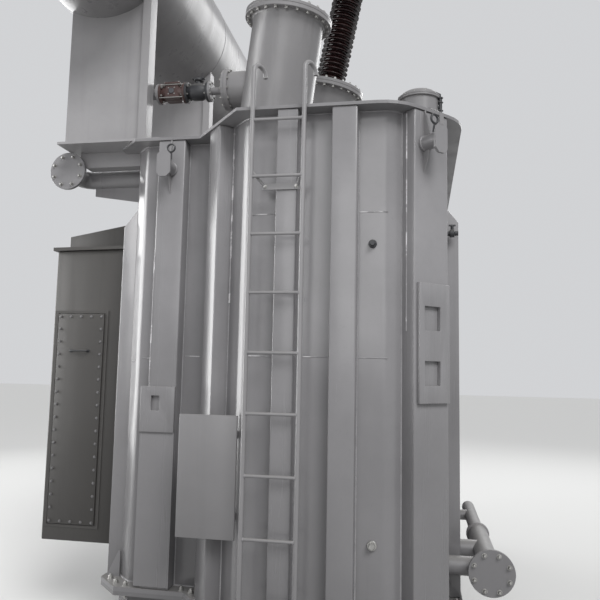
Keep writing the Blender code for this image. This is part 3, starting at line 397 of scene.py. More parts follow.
# The first word found in a CAD node's name gives its finish; all others are plain tank paint
NODE_FINISHES = (
    ("bushing_b_cap", "cap"), ("bushing_b_foot", "turret"), ("bushing_b", "porcelain"), ("cable_box", "box"),
    ("skid", "skid"), ("base_plate", "base"), ("lower_tray", "base"), ("tray_flange", "base"),
    ("cover", "cover"), ("rim_flange", "cover"), ("conservator_support", "saddle"),
    ("conservator", "conservator"), ("turret", "turret"), ("mounting_plate", "plate"), ("ladder", "fitting"),
    ("rib", "rib"), ("pad", "rib"), ("wall", "wall"), ("gas_relay", "red"), ("relay_valve", "dark"),
    ("header", "pipe"), ("relay", "pipe"),
)


def node_material(name):
    return MATS[next((mat for word, mat in NODE_FINISHES if word in name), "tank")]


# Mesh helpers

def piece(name, bm, mat, node=None, smooth=True):
    """Links a finished mesh as a piece that rides on the root body and stands for the node, if one is given."""
    bmesh.ops.recalc_face_normals(bm, faces=bm.faces)
    mesh = bpy.data.meshes.new(name)
    bm.to_mesh(mesh)
    bm.free()
    if smooth:
        mesh.shade_smooth()
        mesh.set_sharp_from_angle(angle=SHARP)
    obj = bpy.data.objects.new(name, mesh)
    bpy.context.scene.collection.objects.link(obj)
    mesh.materials.append(MATS[mat])
    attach(obj, "root")
    if node:
        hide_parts(node)


def at(*spot):
    return Matrix.Translation(spot)


def along(start, direction):
    """A frame at start whose local Z points along direction."""
    return at(*start) @ Vector(direction).to_track_quat("Z", "Y").to_matrix().to_4x4()


def circle(steps):
    """The cosine and sine of evenly spaced turns."""
    return [(cos(2 * pi * i / steps), sin(2 * pi * i / steps)) for i in range(steps)]


def skin(bm, rings, closed=False):
    """Faces between neighbouring rings of vertices, where a ring can be a single point."""
    steps = max(len(ring) for ring in rings)
    pairs = list(zip(rings, rings[1:]))
    if closed:
        pairs.append((rings[-1], rings[0]))
    for low, high in pairs:
        for i in range(steps):
            spots = [(low, i), (low, i + 1), (high, i + 1), (high, i)]
            corners = list(dict.fromkeys(ring[turn % len(ring)] for ring, turn in spots))
            if len(corners) > 2:
                bm.faces.new(corners)


def capped(bm, rings):
    """A bar through rings of vertices, with flat ends."""
    skin(bm, rings)
    bm.faces.new(list(reversed(rings[0])))
    bm.faces.new(rings[-1])


def lathe(bm, profile, place, steps=ROUND_STEPS, closed=False):
    """A profile of (radius, height) turned about the local Z of place, solid unless the profile is closed."""
    spots = list(profile) if closed else [(0, profile[0][1])] + list(profile)
    if not closed and spots[-1][0]:
        spots.append((0, spots[-1][1]))
    rings = []
    for radius, height in spots:
        ring = [(radius * c, radius * s) for c, s in circle(steps)] if radius else [(0, 0)]
        rings.append([bm.verts.new(place @ Vector((x, y, height))) for x, y in ring])
    skin(bm, rings, closed)


def edge_profile(radius, low, high, edge):
    """The outside of a flange or disc with softened rims."""
    return [(radius - edge, low), (radius, low + edge), (radius, high - edge), (radius - edge, high)]


def disc(bm, place, radius, low, high, edge, steps=ROUND_STEPS):
    """A disc or drum with softened rims."""
    lathe(bm, edge_profile(radius, low, high, edge), place, steps)


def prism(bm, outline, low, high, place=Matrix.Identity(4)):
    """A closed outline in local XY pulled from low to high along local Z."""
    capped(bm, [[bm.verts.new(place @ Vector((x, y, z))) for x, y in outline] for z in (low, high)])


def slab(bm, x_span, y_span, z_span, edge=0.0, place=Matrix.Identity(4)):
    """A plate or block whose upright edges are cut by edge."""
    x0, x1 = x_span
    y0, y1 = y_span
    if not edge:
        prism(bm, [(x0, y0), (x1, y0), (x1, y1), (x0, y1)], *z_span, place)
        return
    prism(bm, [(x0 + edge, y0), (x1 - edge, y0), (x1, y0 + edge), (x1, y1 - edge), (x1 - edge, y1),
               (x0 + edge, y1), (x0, y1 - edge), (x0, y0 + edge)], *z_span, place)


def tube(bm, points, radius, steps=BEAD_STEPS, closed=False):
    """A round bar along points, with flat ends unless it is closed."""
    spots = [Vector(p) for p in points]
    count = len(spots)
    rings = []
    side = None
    for i, spot in enumerate(spots):
        last = spots[i - 1] if i or closed else spot
        ahead = spots[(i + 1) % count] if i + 1 < count or closed else spot
        run = (ahead - last).normalized()
        if side is None:
            side = run.orthogonal().normalized()
        side = (side - run * side.dot(run)).normalized()
        other = run.cross(side)
        rings.append([bm.verts.new(spot + radius * (c * side + s * other)) for c, s in circle(steps)])
    if closed:
        skin(bm, rings, closed)
    else:
        capped(bm, rings)


def bolt(bm, place, size, dome=False, shank=True):
    """A washer with a hexagon head or a cap nut, seated at the frame's origin and facing its local Z."""
    washer = 0.14 * size
    lathe(bm, [(0.68 * size, 0), (0.68 * size, washer)], place, WASHER_STEPS)
    if dome:
        lathe(bm, [(0.50 * size, washer), (0.50 * size, 0.55 * size), (0.44 * size, 0.80 * size),
                   (0.28 * size, 0.97 * size), (0, 1.04 * size)], place, WASHER_STEPS)
        return
    head = washer + 0.50 * size
    lathe(bm, [(0.54 * size, washer), (0.54 * size, head - 0.07 * size), (0.47 * size, head)], place, 6)
    if shank:
        end = head + 0.32 * size
        lathe(bm, [(0.29 * size, head), (0.29 * size, end - 0.05 * size), (0.24 * size, end)], place, 10)


def bolt_ring(bm, place, radius, count, size, height=0.0, dome=False, shank=True):
    for i in range(count):
        turn = 2 * pi * (i + 0.5) / count
        bolt(bm, place @ at(radius * cos(turn), radius * sin(turn), height), size, dome, shank)


def seam_ring(bm, place, radius, height, size, steps=FINE_STEPS):
    """A weld bead round a turned body."""
    lathe(bm, [(radius - size, height - size), (radius, height - size),
               (radius + 0.7 * size, height - 0.5 * size), (radius + 0.7 * size, height + 0.5 * size),
               (radius, height + size), (radius - size, height + size)], place, steps, closed=True)


def inset(points, distance):
    """A closed anticlockwise outline moved inwards by distance, with mitred corners."""
    lines = []
    for i, point in enumerate(points):
        a = Vector(point)
        run = (Vector(points[(i + 1) % len(points)]) - a).normalized()
        lines.append((a + distance * Vector((-run.y, run.x)), run))
    result = []
    for i in range(len(points)):
        p, u = lines[i - 1]
        q, v = lines[i]
        gap = q - p
        corner = p + (gap.x * v.y - gap.y * v.x) / (u.x * v.y - u.y * v.x) * u
        result.append((corner.x, corner.y))
    return result


def rounded(points, radii, steps=8):
    """An anticlockwise outline with the corners named in radii turned into arcs."""
    result = []
    for i, point in enumerate(points):
        if i not in radii:
            result.append(point)
            continue
        radius = radii[i]
        corner = Vector(point)
        to_last = (Vector(points[i - 1]) - corner).normalized()
        to_next = (Vector(points[(i + 1) % len(points)]) - corner).normalized()
        half = to_last.angle(to_next) / 2
        middle = corner + (to_last + to_next).normalized() * radius / sin(half)
        spoke = corner + to_last * radius / tan(half) - middle
        turn = pi - 2 * half
        if to_last.cross(to_next) > 0:
            turn = -turn
        for k in range(steps + 1):
            spot = middle + Matrix.Rotation(turn * k / steps, 2) @ spoke
            result.append((spot.x, spot.y))
    return result


def bend_path(start, corner, end, radius, steps=12):
    """Straight, then a quarter turn round the corner, then straight."""
    a, b, c = Vector(start), Vector(corner), Vector(end)
    into = (b - a).normalized()
    out = (c - b).normalized()
    middle = b - into * radius + out * radius
    turns = [pi / 2 * i / steps for i in range(steps + 1)]
    return [a] + [middle - out * radius * cos(turn) + into * radius * sin(turn) for turn in turns] + [c]


def walk(points, pitch):
    """Evenly spaced places along each side of a closed outline, with the side's direction."""
    places = []
    for i, point in enumerate(points):
        a = Vector(point)
        b = Vector(points[(i + 1) % len(points)])
        count = max(1, round((b - a).length / pitch))
        places += [(a.lerp(b, (k + 0.5) / count), (b - a).normalized()) for k in range(count)]
    return places


RECESS_Y = -HALF_LENGTH + RECESS_DEPTH
RIM = [
    (-HALF_WIDTH, RECESS_Y + LEFT_CUT),
    (-HALF_WIDTH + LEFT_CUT, RECESS_Y),
    (RECESS_EDGE_X, RECESS_Y),
    (RECESS_EDGE_X + STEP_RUN, -HALF_LENGTH),
    (HALF_WIDTH - CORNER_CUT, -HALF_LENGTH),
    (HALF_WIDTH, -HALF_LENGTH + CORNER_CUT),
    (HALF_WIDTH, HALF_LENGTH - CORNER_CUT),
    (HALF_WIDTH - CORNER_CUT, HALF_LENGTH),
    (-HALF_WIDTH + CORNER_CUT, HALF_LENGTH),
    (-HALF_WIDTH, HALF_LENGTH - CORNER_CUT),
]
WALL = inset(RIM, OVERHANG)
FRONT_CORNERS = 6


# Bent plates of the tank, pads and cable box

RIBS = ("left_rib", "step_rib", "middle_rib_a", "middle_rib_b", "corner_rib", "rear_corner_rib_right",
        "rear_corner_rib_left", "rear_rib_1", "rear_rib_2", "rear_rib_3")
SIDE_WALLS = ("left_wall", "right_wall")
# Node, radius of its edges, material, slot
FOLDED_PLATES = (
    ("mounting_plate", 0.003, "plate", None),
    ("cable_box", 0.008, "box", None),
    ("cable_box_hood", 0.006, "box", None),
    ("cable_box_panel", 0.003, "box", None),
    ("left_pad", 0.004, "rib", "fittings_paint"),
    ("corner_pad", 0.004, "rib", "fittings_paint"),
)
RIB_EDGE = 0.010
WALL_EDGE = 0.008
SAME_SPOT = 0.00002
FLAT = radians(0.5)
BEND = radians(25)
WALL_BENDS = {0: 0.09, 1: 0.09, 2: 0.10, 3: 0.17, 4: 0.15, 5: 0.10}
CONCAVE_BEND = 2
LEFT_SEAM = 0.0117


def softened(node, width, mat, slot=None, segments=2):
    """A copy of a CAD node with its edges rounded as on bent plate, standing for the node."""
    bm = bmesh.new()
    bm.from_mesh(NODES[node].data)
    bmesh.ops.remove_doubles(bm, verts=bm.verts, dist=SAME_SPOT)
    bmesh.ops.dissolve_limit(bm, angle_limit=FLAT, verts=bm.verts, edges=bm.edges)
    edges = [e for e in bm.edges if len(e.link_faces) == 2 and e.calc_face_angle(0) > BEND]
    bmesh.ops.bevel(bm, geom=edges, offset=width, segments=segments, affect="EDGES", profile=0.5,
                    clamp_overlap=True)
    piece(node + "_folded", bm, mat, node)


def wall_line(outline, half, left_y, right_y, radii):
    """One face of the front wall in plan, from its left end to its right end, with its bends."""
    closing = (0, HALF_LENGTH)
    points = [(-half, left_y)] + outline[:FRONT_CORNERS] + [(half, right_y), closing]
    return rounded(points, {i + 1: radius for i, radius in radii.items()})[:-1]


def front_wall_piece():
    """The front wall as one bent plate, with a radius at each bend."""
    low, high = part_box("front_wall")
    left_y = WALL[0][1] + LEFT_SEAM
    thinner = {i: bend + (WALL_PLATE if i == CONCAVE_BEND else -WALL_PLATE) for i, bend in WALL_BENDS.items()}
    outer = wall_line(WALL, WALL_X, left_y, high.y, WALL_BENDS)
    inner = wall_line(inset(WALL, WALL_PLATE), WALL_X - WALL_PLATE, left_y, high.y, thinner)
    bm = bmesh.new()
    rings = []
    for out, back in zip(outer, inner):
        corners = ((out, low.z), (back, low.z), (back, high.z), (out, high.z))
        rings.append([bm.verts.new((*spot, z)) for spot, z in corners])
    capped(bm, rings)
    piece("front_wall_bent", bm, "wall", node="front_wall")


def folded_plates():
    for node in RIBS:
        softened(node, RIB_EDGE, "rib", segments=3)
    for row in FOLDED_PLATES:
        softened(*row)
    front_wall_piece()
    for node in SIDE_WALLS:
        softened(node, WALL_EDGE, "wall")


# Bolts of the tank joint

BOLT_PITCH = 0.118
BOLT_SIZE = 0.034
BOLT_REACH = 0.7 * BOLT_SIZE
BOLT_LINE_SHARE = 0.36
PROBE_HEIGHT = 0.06


def rib_trees():
    trees = []
    for node in RIBS + SIDE_WALLS + ("left_rib_doubler",):
        mesh = NODES[node].data
        faces = [list(f.vertices) for f in mesh.polygons]
        trees.append(BVHTree.FromPolygons([v.co for v in mesh.vertices], faces))
    return trees


def beside_rib(trees, spot):
    """Whether a place on the flange lies under a rib or against it."""
    point = Vector((spot.x, spot.y, Z_BELL + PROBE_HEIGHT))
    for tree in trees:
        near, normal, _, distance = tree.find_nearest(point)
        if distance < BOLT_REACH or (point - near).dot(normal) < 0:
            return True
    return False


def flange_bolts():
    """Bolts through the joint of bell and tray, with nuts under the tray's flange."""
    trees = rib_trees()
    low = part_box("tray_flange")[0].z
    heads = bmesh.new()
    nuts = bmesh.new()
    for spot, run in walk(inset(RIM, BOLT_LINE_SHARE * OVERHANG), BOLT_PITCH):
        if beside_rib(trees, spot):
            continue
        turn = Matrix.Rotation(atan2(run.y, run.x), 4, "Z")
        bolt(heads, at(spot.x, spot.y, Z_BELL) @ turn, BOLT_SIZE)
        bolt(nuts, at(spot.x, spot.y, low) @ turn @ TURNED_OVER, BOLT_SIZE)
    piece("flange_bolts", heads, "bolt")
    piece("flange_nuts", nuts, "bolt")


# Turrets and bushing

TURRET_Y = -HALF_LENGTH + TURRET_SET
TURRET_SINK = 0.03
TURRET_BOLTS = 24
TURRET_BOLT = 0.026
TURRET_BOLT_SET = 0.004
FOOT_WELD = 0.008
FILLET = 0.012
FILLET_MIDDLE = (0.004, 0.005)
RIM_EDGE = 0.003
SHED_COUNT = 26
SHED_PITCH = 0.048
SHED_RADIUS = 0.152
SHED_STEP = 0.005
SHED_NECK = 0.020
# A shed's section: whether it is measured from its neck or its lip, how far out, and its share of the pitch
SHED_SHARES = (
    ("neck", 0, 0.10), ("neck", 0.004, 0.22), ("lip", -0.012, 0.12), ("lip", -0.003, 0.10), ("lip", 0, 0.18),
    ("lip", -0.002, 0.27), ("lip", -0.014, 0.40), ("neck", 0.012, 0.66), ("neck", 0.003, 0.82),
)
BUSHING_RADIUS = 0.085
BUSHING_FOOT = 0.10
BUSHING_FOOT_RADIUS = 0.17
FOOT_FLANGE = 0.030
CLAMP_COUNT = 12
CLAMP_SIZE = 0.020
CLAMP_SET = 0.018
CLAMP_LOW = 0.034
# Radius and height of the cap and its stud
CAP_PROFILE = ((0.075, 0), (0.075, 0.075), (0.068, 0.090), (0.050, 0.108), (0.030, 0.118), (0.025, 0.122),
               (0.025, 0.252), (0.021, 0.260))


def turret_place(index):
    lean = TURRET_LEAN[index]
    direction = Vector((sin(lean), -sin(TURRET_FORWARD), cos(lean))).normalized()
    return along((TURRET_X[index], TURRET_Y + index * TURRET_PITCH, Z_TOP), direction)


def turret_piece(index, letter, place):
    """Body, flange and foot weld of a turret; the first has its oil nozzle."""
    bm = bmesh.new()
    under = TURRET_LENGTH - TURRET_FLANGE
    out, down = FILLET_MIDDLE
    lathe(bm, [(TURRET_RADIUS, -TURRET_SINK), (TURRET_RADIUS, under - FILLET),
               (TURRET_RADIUS + out, under - down), (TURRET_RADIUS + FILLET, under)]
          + edge_profile(TURRET_FLANGE_RADIUS, under, TURRET_LENGTH, RIM_EDGE), place, FINE_STEPS)
    if index == 0:
        length = TURRET_X[0] - NOZZLE_END_X
        face = length - NOZZLE_FLANGE
        lathe(bm, [(NOZZLE_RADIUS, 0), (NOZZLE_RADIUS, face)]
              + edge_profile(NOZZLE_FLANGE_RADIUS, face, length, RIM_EDGE),
              along((TURRET_X[0], TURRET_Y, NOZZLE_Z), LEFT), FINE_STEPS)
    piece("turret_%s_body" % letter, bm, "turret", node="turret_" + letter)
    welds = bmesh.new()
    ring = []
    axis = place.to_3x3() @ UP
    for c, s in circle(FINE_STEPS):
        start = place @ Vector((TURRET_RADIUS * c, TURRET_RADIUS * s, 0))
        ring.append(start + axis * (Z_TOP - start.z) / axis.z)
    tube(welds, ring, FOOT_WELD, closed=True)
    piece("turret_%s_weld" % letter, welds, "weld")


def turret_bolts(place, letter, height):
    bm = bmesh.new()
    radius = (TURRET_RADIUS + TURRET_FLANGE_RADIUS) / 2 + TURRET_BOLT_SET
    bolt_ring(bm, place, radius, TURRET_BOLTS, TURRET_BOLT, height)
    bolt_ring(bm, place @ TURNED_OVER, radius, TURRET_BOLTS, TURRET_BOLT, TURRET_FLANGE - TURRET_LENGTH,
              shank=False)
    piece("turret_%s_bolts" % letter, bm, "bolt")


def turret_lid(place, letter):
    """The blank plate on a turret, with its bolts."""
    low = TURRET_LENGTH + GAP
    bm = bmesh.new()
    disc(bm, place, TURRET_FLANGE_RADIUS, low, low + BLANK_PLATE, RIM_EDGE, FINE_STEPS)
    piece("turret_%s_lid" % letter, bm, "turret", node="turret_%s_blank" % letter)
    turret_bolts(place, letter, low + BLANK_PLATE)


def shed_profile(base, top):
    """Large and small sheds in turn, each drooping to a rounded lip."""
    points = [(BUSHING_RADIUS, base)]
    for i in range(SHED_COUNT):
        start = {"neck": BUSHING_RADIUS + SHED_NECK, "lip": SHED_RADIUS - SHED_STEP * (i % 2)}
        points += [(start[part] + out, base + (i + share) * SHED_PITCH) for part, out, share in SHED_SHARES]
    return points + [(BUSHING_RADIUS, top)]


def bushing_pieces(place):
    low = TURRET_LENGTH + GAP
    base = low + BUSHING_FOOT
    top = base + SHED_COUNT * SHED_PITCH
    bm = bmesh.new()
    lathe(bm, shed_profile(base, top), place, FLANGE_STEPS)
    piece("bushing_b_porcelain", bm, "porcelain", node="bushing_b")
    foot = bmesh.new()
    lathe(foot, edge_profile(TURRET_FLANGE_RADIUS, low, low + FOOT_FLANGE, RIM_EDGE)
          + [(BUSHING_FOOT_RADIUS + 0.03, low + 0.032), (BUSHING_FOOT_RADIUS + 0.006, low + 0.040),
             (BUSHING_FOOT_RADIUS, low + 0.052), (0.82 * BUSHING_FOOT_RADIUS, low + 0.085),
             (0.80 * BUSHING_FOOT_RADIUS, base - GAP)], place, FINE_STEPS)
    piece("bushing_b_mount", foot, "turret", node="bushing_b_foot")
    turret_bolts(place, "b", low + FOOT_FLANGE)
    clamps = bmesh.new()
    bolt_ring(clamps, place, BUSHING_FOOT_RADIUS + CLAMP_SET, CLAMP_COUNT, CLAMP_SIZE, low + CLAMP_LOW)
    piece("bushing_b_clamps", clamps, "bolt")
    head = bmesh.new()
    lathe(head, [(radius, top + GAP + height) for radius, height in CAP_PROFILE], place)
    piece("bushing_b_head", head, "cap", node="bushing_b_cap")


def turrets():
    for index, letter in enumerate("abc"):
        place = turret_place(index)
        turret_piece(index, letter, place)
        if letter == "b":
            bushing_pieces(place)
        else:
            turret_lid(place, letter)


LOW_RADIUS = 0.150
LOW_FLANGE_RADIUS = 0.165
LOW_HEIGHT = 0.297
LOW_FLANGE = 0.028
LOW_EDGE = 0.002
JOINT_HALF = 0.0005
DISH_RISE = 0.055
DISH_FLAT = 0.04
DISH_SET = 0.044
DISH_REACH = LOW_RADIUS - DISH_SET
DISH_STEPS = 8
LID_BOLTS = 12
LID_BOLT = 0.011
LID_BOLT_SET = 0.001
LID_WELDS = 4
LID_WELD = 0.0028
LID_WELD_SINK = 0.001
COCK_STEM = 0.022
COCK_RISE = 0.20
COCK_BACK = 0.055
COCK_SINK = 0.03


def dish_spot(lean, sink=0.0):
    """Radius and height on the dished lid, or just under its surface, at a lean from its middle."""
    return DISH_FLAT + (DISH_REACH - 2 * sink) * sin(lean), LOW_HEIGHT + (DISH_RISE - sink) * cos(lean)


def low_turret_shell(place):
    lip = LOW_FLANGE_RADIUS - LOW_EDGE
    under = LOW_HEIGHT - LOW_FLANGE
    split = LOW_HEIGHT - LOW_FLANGE / 2
    profile = [(LOW_RADIUS, GAP), (LOW_RADIUS, under), (lip, under), (LOW_FLANGE_RADIUS, under + LOW_EDGE),
               (LOW_FLANGE_RADIUS, split - LOW_EDGE), (lip, split - JOINT_HALF), (lip, split + JOINT_HALF),
               (LOW_FLANGE_RADIUS, split + LOW_EDGE), (LOW_FLANGE_RADIUS, LOW_HEIGHT - LOW_EDGE),
               (lip, LOW_HEIGHT)]
    profile += [dish_spot(pi / 2 * (1 - k / DISH_STEPS)) for k in range(DISH_STEPS + 1)]
    bm = bmesh.new()
    lathe(bm, profile, place, FINE_STEPS)
    piece("low_turret_shell", bm, "turret", node="low_turret")


def low_turret_lid(place):
    """Bolts of the lid, and the welds over its dish and round the turret's foot."""
    bolts = bmesh.new()
    bolt_ring(bolts, place, (LOW_RADIUS + LOW_FLANGE_RADIUS) / 2 + LID_BOLT_SET, LID_BOLTS, LID_BOLT,
              LOW_HEIGHT, shank=False)
    piece("low_turret_bolts", bolts, "bolt")
    welds = bmesh.new()
    seam_ring(welds, place, LOW_RADIUS, *FOOT_BEAD)
    for k in range(LID_WELDS):
        turn = 2 * pi * (k + 0.3) / LID_WELDS
        shares = [0.08 + 0.84 * j / DISH_STEPS for j in range(DISH_STEPS + 1)]
        arc = [dish_spot(pi / 2 * share, LID_WELD_SINK) for share in shares]
        tube(welds, [place @ Vector((reach * cos(turn), reach * sin(turn), height)) for reach, height in arc],
             LID_WELD, 6)
    piece("low_turret_weld", welds, "weld")


def low_turret_cock(root):
    """The cock on the turret's right side, with its bent handle."""
    bm = bmesh.new()
    middle = root + COCK_STEM * RIGHT
    stem = at(*middle)
    lathe(bm, [(0.011, -0.03), (0.011, 0.024)], along(root, RIGHT), SMALL_STEPS)
    disc(bm, stem, 0.014, -0.10, 0.07, 0.004, SMALL_STEPS)
    for height in (-0.10, -0.035, 0.03, 0.065):
        disc(bm, stem, 0.021, height, height + 0.012, 0.002, 6)
    tube(bm, [middle + UP * 0.07, middle + UP * 0.10, root + Vector((-0.012, -0.012, 0.112))], 0.006, 10)
    piece("low_turret_cock", bm, "dark")


def low_turret_pieces():
    """The low domed turret at the front right corner of the cover."""
    low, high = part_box("low_turret")
    middle = (low + high) / 2
    place = at(middle.x, middle.y, Z_TOP)
    low_turret_shell(place)
    low_turret_lid(place)
    low_turret_cock(Vector((high.x - COCK_SINK, middle.y - COCK_BACK, Z_TOP + COCK_RISE)))


# Conservator and its supports

CONS_RADIUS = 0.585
CONS_SKIN = 0.008
CONS_SEAM_SHARES = (0.16, 0.5, 0.84)
CONS_SEAM = 0.004
CONS_SEAM_END = 0.002
SEAM_TURNS = (0.35, 0.62, 0.30, 0.66)
END_EDGE = 0.0025
END_BOLTS = 36
END_BOLT = 0.020
END_BOLT_SET = 0.017
CONS_BACK_SET = 0.75
SUPPORT_NODES = ("conservator_support_1", "conservator_support_2", "conservator_support_3")
SUPPORT_SET = 0.66
SUPPORT_BACK_SET = 0.51
SUPPORT_FOOT = 0.02
SUPPORT_SIDE = 0.013
SUPPORT_WELD = 0.005
SUPPORT_WELD_START = 0.01
SUPPORT_WELD_END = 0.16


def conservator_pieces():
    low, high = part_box("conservator_shell")
    middle = (low + high) / 2
    length = high.y - low.y
    place = along((middle.x, low.y, middle.z), BACK)
    inner = CONS_RADIUS - CONS_SKIN
    bm = bmesh.new()
    lathe(bm, [(inner, 0), (CONS_RADIUS, 0), (CONS_RADIUS, length), (inner, length)], place, DRUM_STEPS,
          closed=True)
    piece("conservator_barrel", bm, "conservator", node="conservator_shell")
    welds = bmesh.new()
    seams = [share * length for share in CONS_SEAM_SHARES]
    for seam in seams:
        seam_ring(welds, place, CONS_RADIUS, seam, CONS_SEAM, DRUM_STEPS)
    spans = [CONS_SEAM_END] + seams + [length - CONS_SEAM_END]
    for i, turn in enumerate(SEAM_TURNS):
        x = middle.x - CONS_RADIUS * cos(pi * turn)
        z = middle.z + CONS_RADIUS * sin(pi * turn)
        tube(welds, [(x, low.y + spans[i], z), (x, low.y + spans[i + 1], z)], CONS_SEAM)
    piece("conservator_welds", welds, "weld")
    bolts = bmesh.new()
    for name, way in (("conservator_front_end", -1), ("conservator_rear_end", 1)):
        plate_low, plate_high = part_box(name)
        thick = plate_high.y - plate_low.y
        face = along((middle.x, plate_low.y if way > 0 else plate_high.y, middle.z), way * BACK)
        plate = bmesh.new()
        disc(plate, face, (plate_high.x - plate_low.x) / 2, 0, thick, END_EDGE, DRUM_STEPS)
        piece(name + "_plate", plate, "conservator", node=name)
        bolt_ring(bolts, face, CONS_RADIUS + END_BOLT_SET, END_BOLTS, END_BOLT, thick, shank=False)
    piece("conservator_bolts", bolts, "bolt")


def support_welds():
    """The welds between each saddle plate and its foot."""
    bm = bmesh.new()
    pitch = (2 * HALF_LENGTH - CONS_BACK_SET - SUPPORT_BACK_SET - SUPPORT_SET) / 2
    z = Z_TOP + GAP + SUPPORT_FOOT
    for index, node in enumerate(SUPPORT_NODES):
        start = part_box(node)[0].x + SUPPORT_WELD_START
        for side in (-SUPPORT_SIDE, SUPPORT_SIDE):
            y = -HALF_LENGTH + SUPPORT_SET + index * pitch + side
            tube(bm, [(start, y, z), (-HALF_WIDTH + SUPPORT_WELD_END, y, z)], SUPPORT_WELD)
    piece("support_welds", bm, "weld")


# Relay line

LINE_FLANGE_RADIUS = 0.085
LINE_EDGE = 0.002
RELAY_FLANGE = 0.019
RELAY_SET = 0.048
RELAY_HALF = 0.062
RELAY_FOOT = 0.060
RELAY_TOP = 0.058
RELAY_EDGE = 0.012
RELAY_COVER_SET = 0.040
RELAY_COVER_HALF = 0.070
RELAY_COVER_TOP = 0.072
GLASS_RADIUS = 0.024
GLASS_THICK = 0.007
ROD_HEIGHTS = (-0.058, 0.052)
ROD_OUT = 0.066
ROD_END = 0.012
ROD_RADIUS = 0.005
VALVE_FLANGE = 0.020
LINE_BOLTS = 6
LINE_BOLT = 0.014
LINE_BOLT_RADIUS = 0.070
NOZZLE_BOLTS = 12
NOZZLE_BOLT = 0.016
NOZZLE_BOLT_RADIUS = 0.1545
PIPE_FLANGE = 0.020
PIPE_BOLT = 0.020
PIPE_BOLT_RADIUS = 0.140


def end_flanges(bm, place, length, thick):
    for start in (0, length - thick):
        disc(bm, place, LINE_FLANGE_RADIUS, start, start + thick, LINE_EDGE)


def relay_pieces():
    """The relay's case with its sight glasses, cover, rods and screws."""
    low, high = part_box("gas_relay")
    y = (low.y + high.y) / 2
    z = NOZZLE_Z
    length = high.x - low.x
    centre = low.x + length / 2
    place = along((low.x, y, z), RIGHT)
    bm = bmesh.new()
    end_flanges(bm, place, length, RELAY_FLANGE)
    lathe(bm, [(0.050, 0.01), (RELAY_HALF, 0.055), (RELAY_HALF, length - 0.055), (0.050, length - 0.01)], place)
    slab(bm, (low.x + RELAY_SET, high.x - RELAY_SET), (y - RELAY_HALF, y + RELAY_HALF),
         (z - RELAY_FOOT, z + RELAY_TOP), RELAY_EDGE)
    slab(bm, (low.x + RELAY_COVER_SET, high.x - RELAY_COVER_SET), (y - RELAY_COVER_HALF, y + RELAY_COVER_HALF),
         (z + RELAY_TOP, z + RELAY_COVER_TOP), RELAY_EDGE)
    piece("relay_case", bm, "red", node="gas_relay")
    trim = bmesh.new()
    panes = bmesh.new()
    for way in (-1, 1):
        glass = along((centre, y + way * RELAY_HALF, z), way * BACK)
        disc(panes, glass, GLASS_RADIUS, 0, GLASS_THICK, LINE_EDGE, 24)
        bolt_ring(trim, glass, 0.036, 4, 0.009, shank=False)
        for x in (low.x + 0.052, high.x - 0.052):
            bolt(trim, at(x, y + way * 0.058, z + RELAY_COVER_TOP), 0.012, shank=False)
    lathe(trim, [(0.011, 0.070), (0.011, 0.088), (0.006, 0.092)], at(centre, y, z), WASHER_STEPS)
    for height in ROD_HEIGHTS:
        tube(trim, [(x, y - ROD_OUT, z + height) for x in (low.x + ROD_END, high.x - ROD_END)], ROD_RADIUS)
    piece("relay_trim", trim, "bolt")
    piece("relay_glasses", panes, "glass")


def line_bolts():
    """Bolts of the flanges from the relay to the turret's nozzle."""
    bm = bmesh.new()
    for node in ("gas_relay", "relay_valve"):
        first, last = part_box(node)
        for x, way in ((first.x, 1), (last.x, -1)):
            for side, shank in ((way, True), (-way, False)):
                face = along((x + side * VALVE_FLANGE, TURRET_Y, NOZZLE_Z), side * RIGHT)
                bolt_ring(bm, face, LINE_BOLT_RADIUS, LINE_BOLTS, LINE_BOLT, shank=shank)
    pipe_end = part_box("relay_pipe")[1].x - PIPE_FLANGE
    bolt_ring(bm, along((pipe_end, TURRET_Y, NOZZLE_Z), LEFT), PIPE_BOLT_RADIUS, NOZZLE_BOLTS, PIPE_BOLT)
    nozzle_back = NOZZLE_END_X + NOZZLE_FLANGE
    bolt_ring(bm, along((nozzle_back, TURRET_Y, NOZZLE_Z), RIGHT), NOZZLE_BOLT_RADIUS, NOZZLE_BOLTS,
              NOZZLE_BOLT, shank=False)
    piece("relay_line_bolts", bm, "bolt")


def valve_piece():
    """The valve's body with its hand lever over the neck."""
    low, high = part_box("relay_valve")
    length = high.x - low.x
    middle = (low.x + high.x) / 2
    y, z = TURRET_Y, NOZZLE_Z
    place = along((low.x, y, z), RIGHT)
    bm = bmesh.new()
    end_flanges(bm, place, length, VALVE_FLANGE)
    half = [(0.052, 0.01), (0.058, 0.040), (0.070, 0.065)]
    lathe(bm, half + [(radius, length - reach) for radius, reach in reversed(half)], place)
    stem = at(middle, y, z)
    lathe(bm, [(0.030, 0.03), (0.030, 0.078), (0.022, 0.082), (0.022, 0.100)], stem, 24)
    disc(bm, stem, 0.038, 0.094, 0.112, RIM_EDGE, 24)
    slab(bm, (middle - 0.054, middle + 0.054), (y - 0.016, y + 0.016), (z + 0.112, z + 0.124), 0.005)
    lathe(bm, [(0.013, 0.120), (0.013, 0.134), (0.009, 0.139)], stem, 6)
    piece("relay_valve_body", bm, "dark", node="relay_valve")


# Oil headers

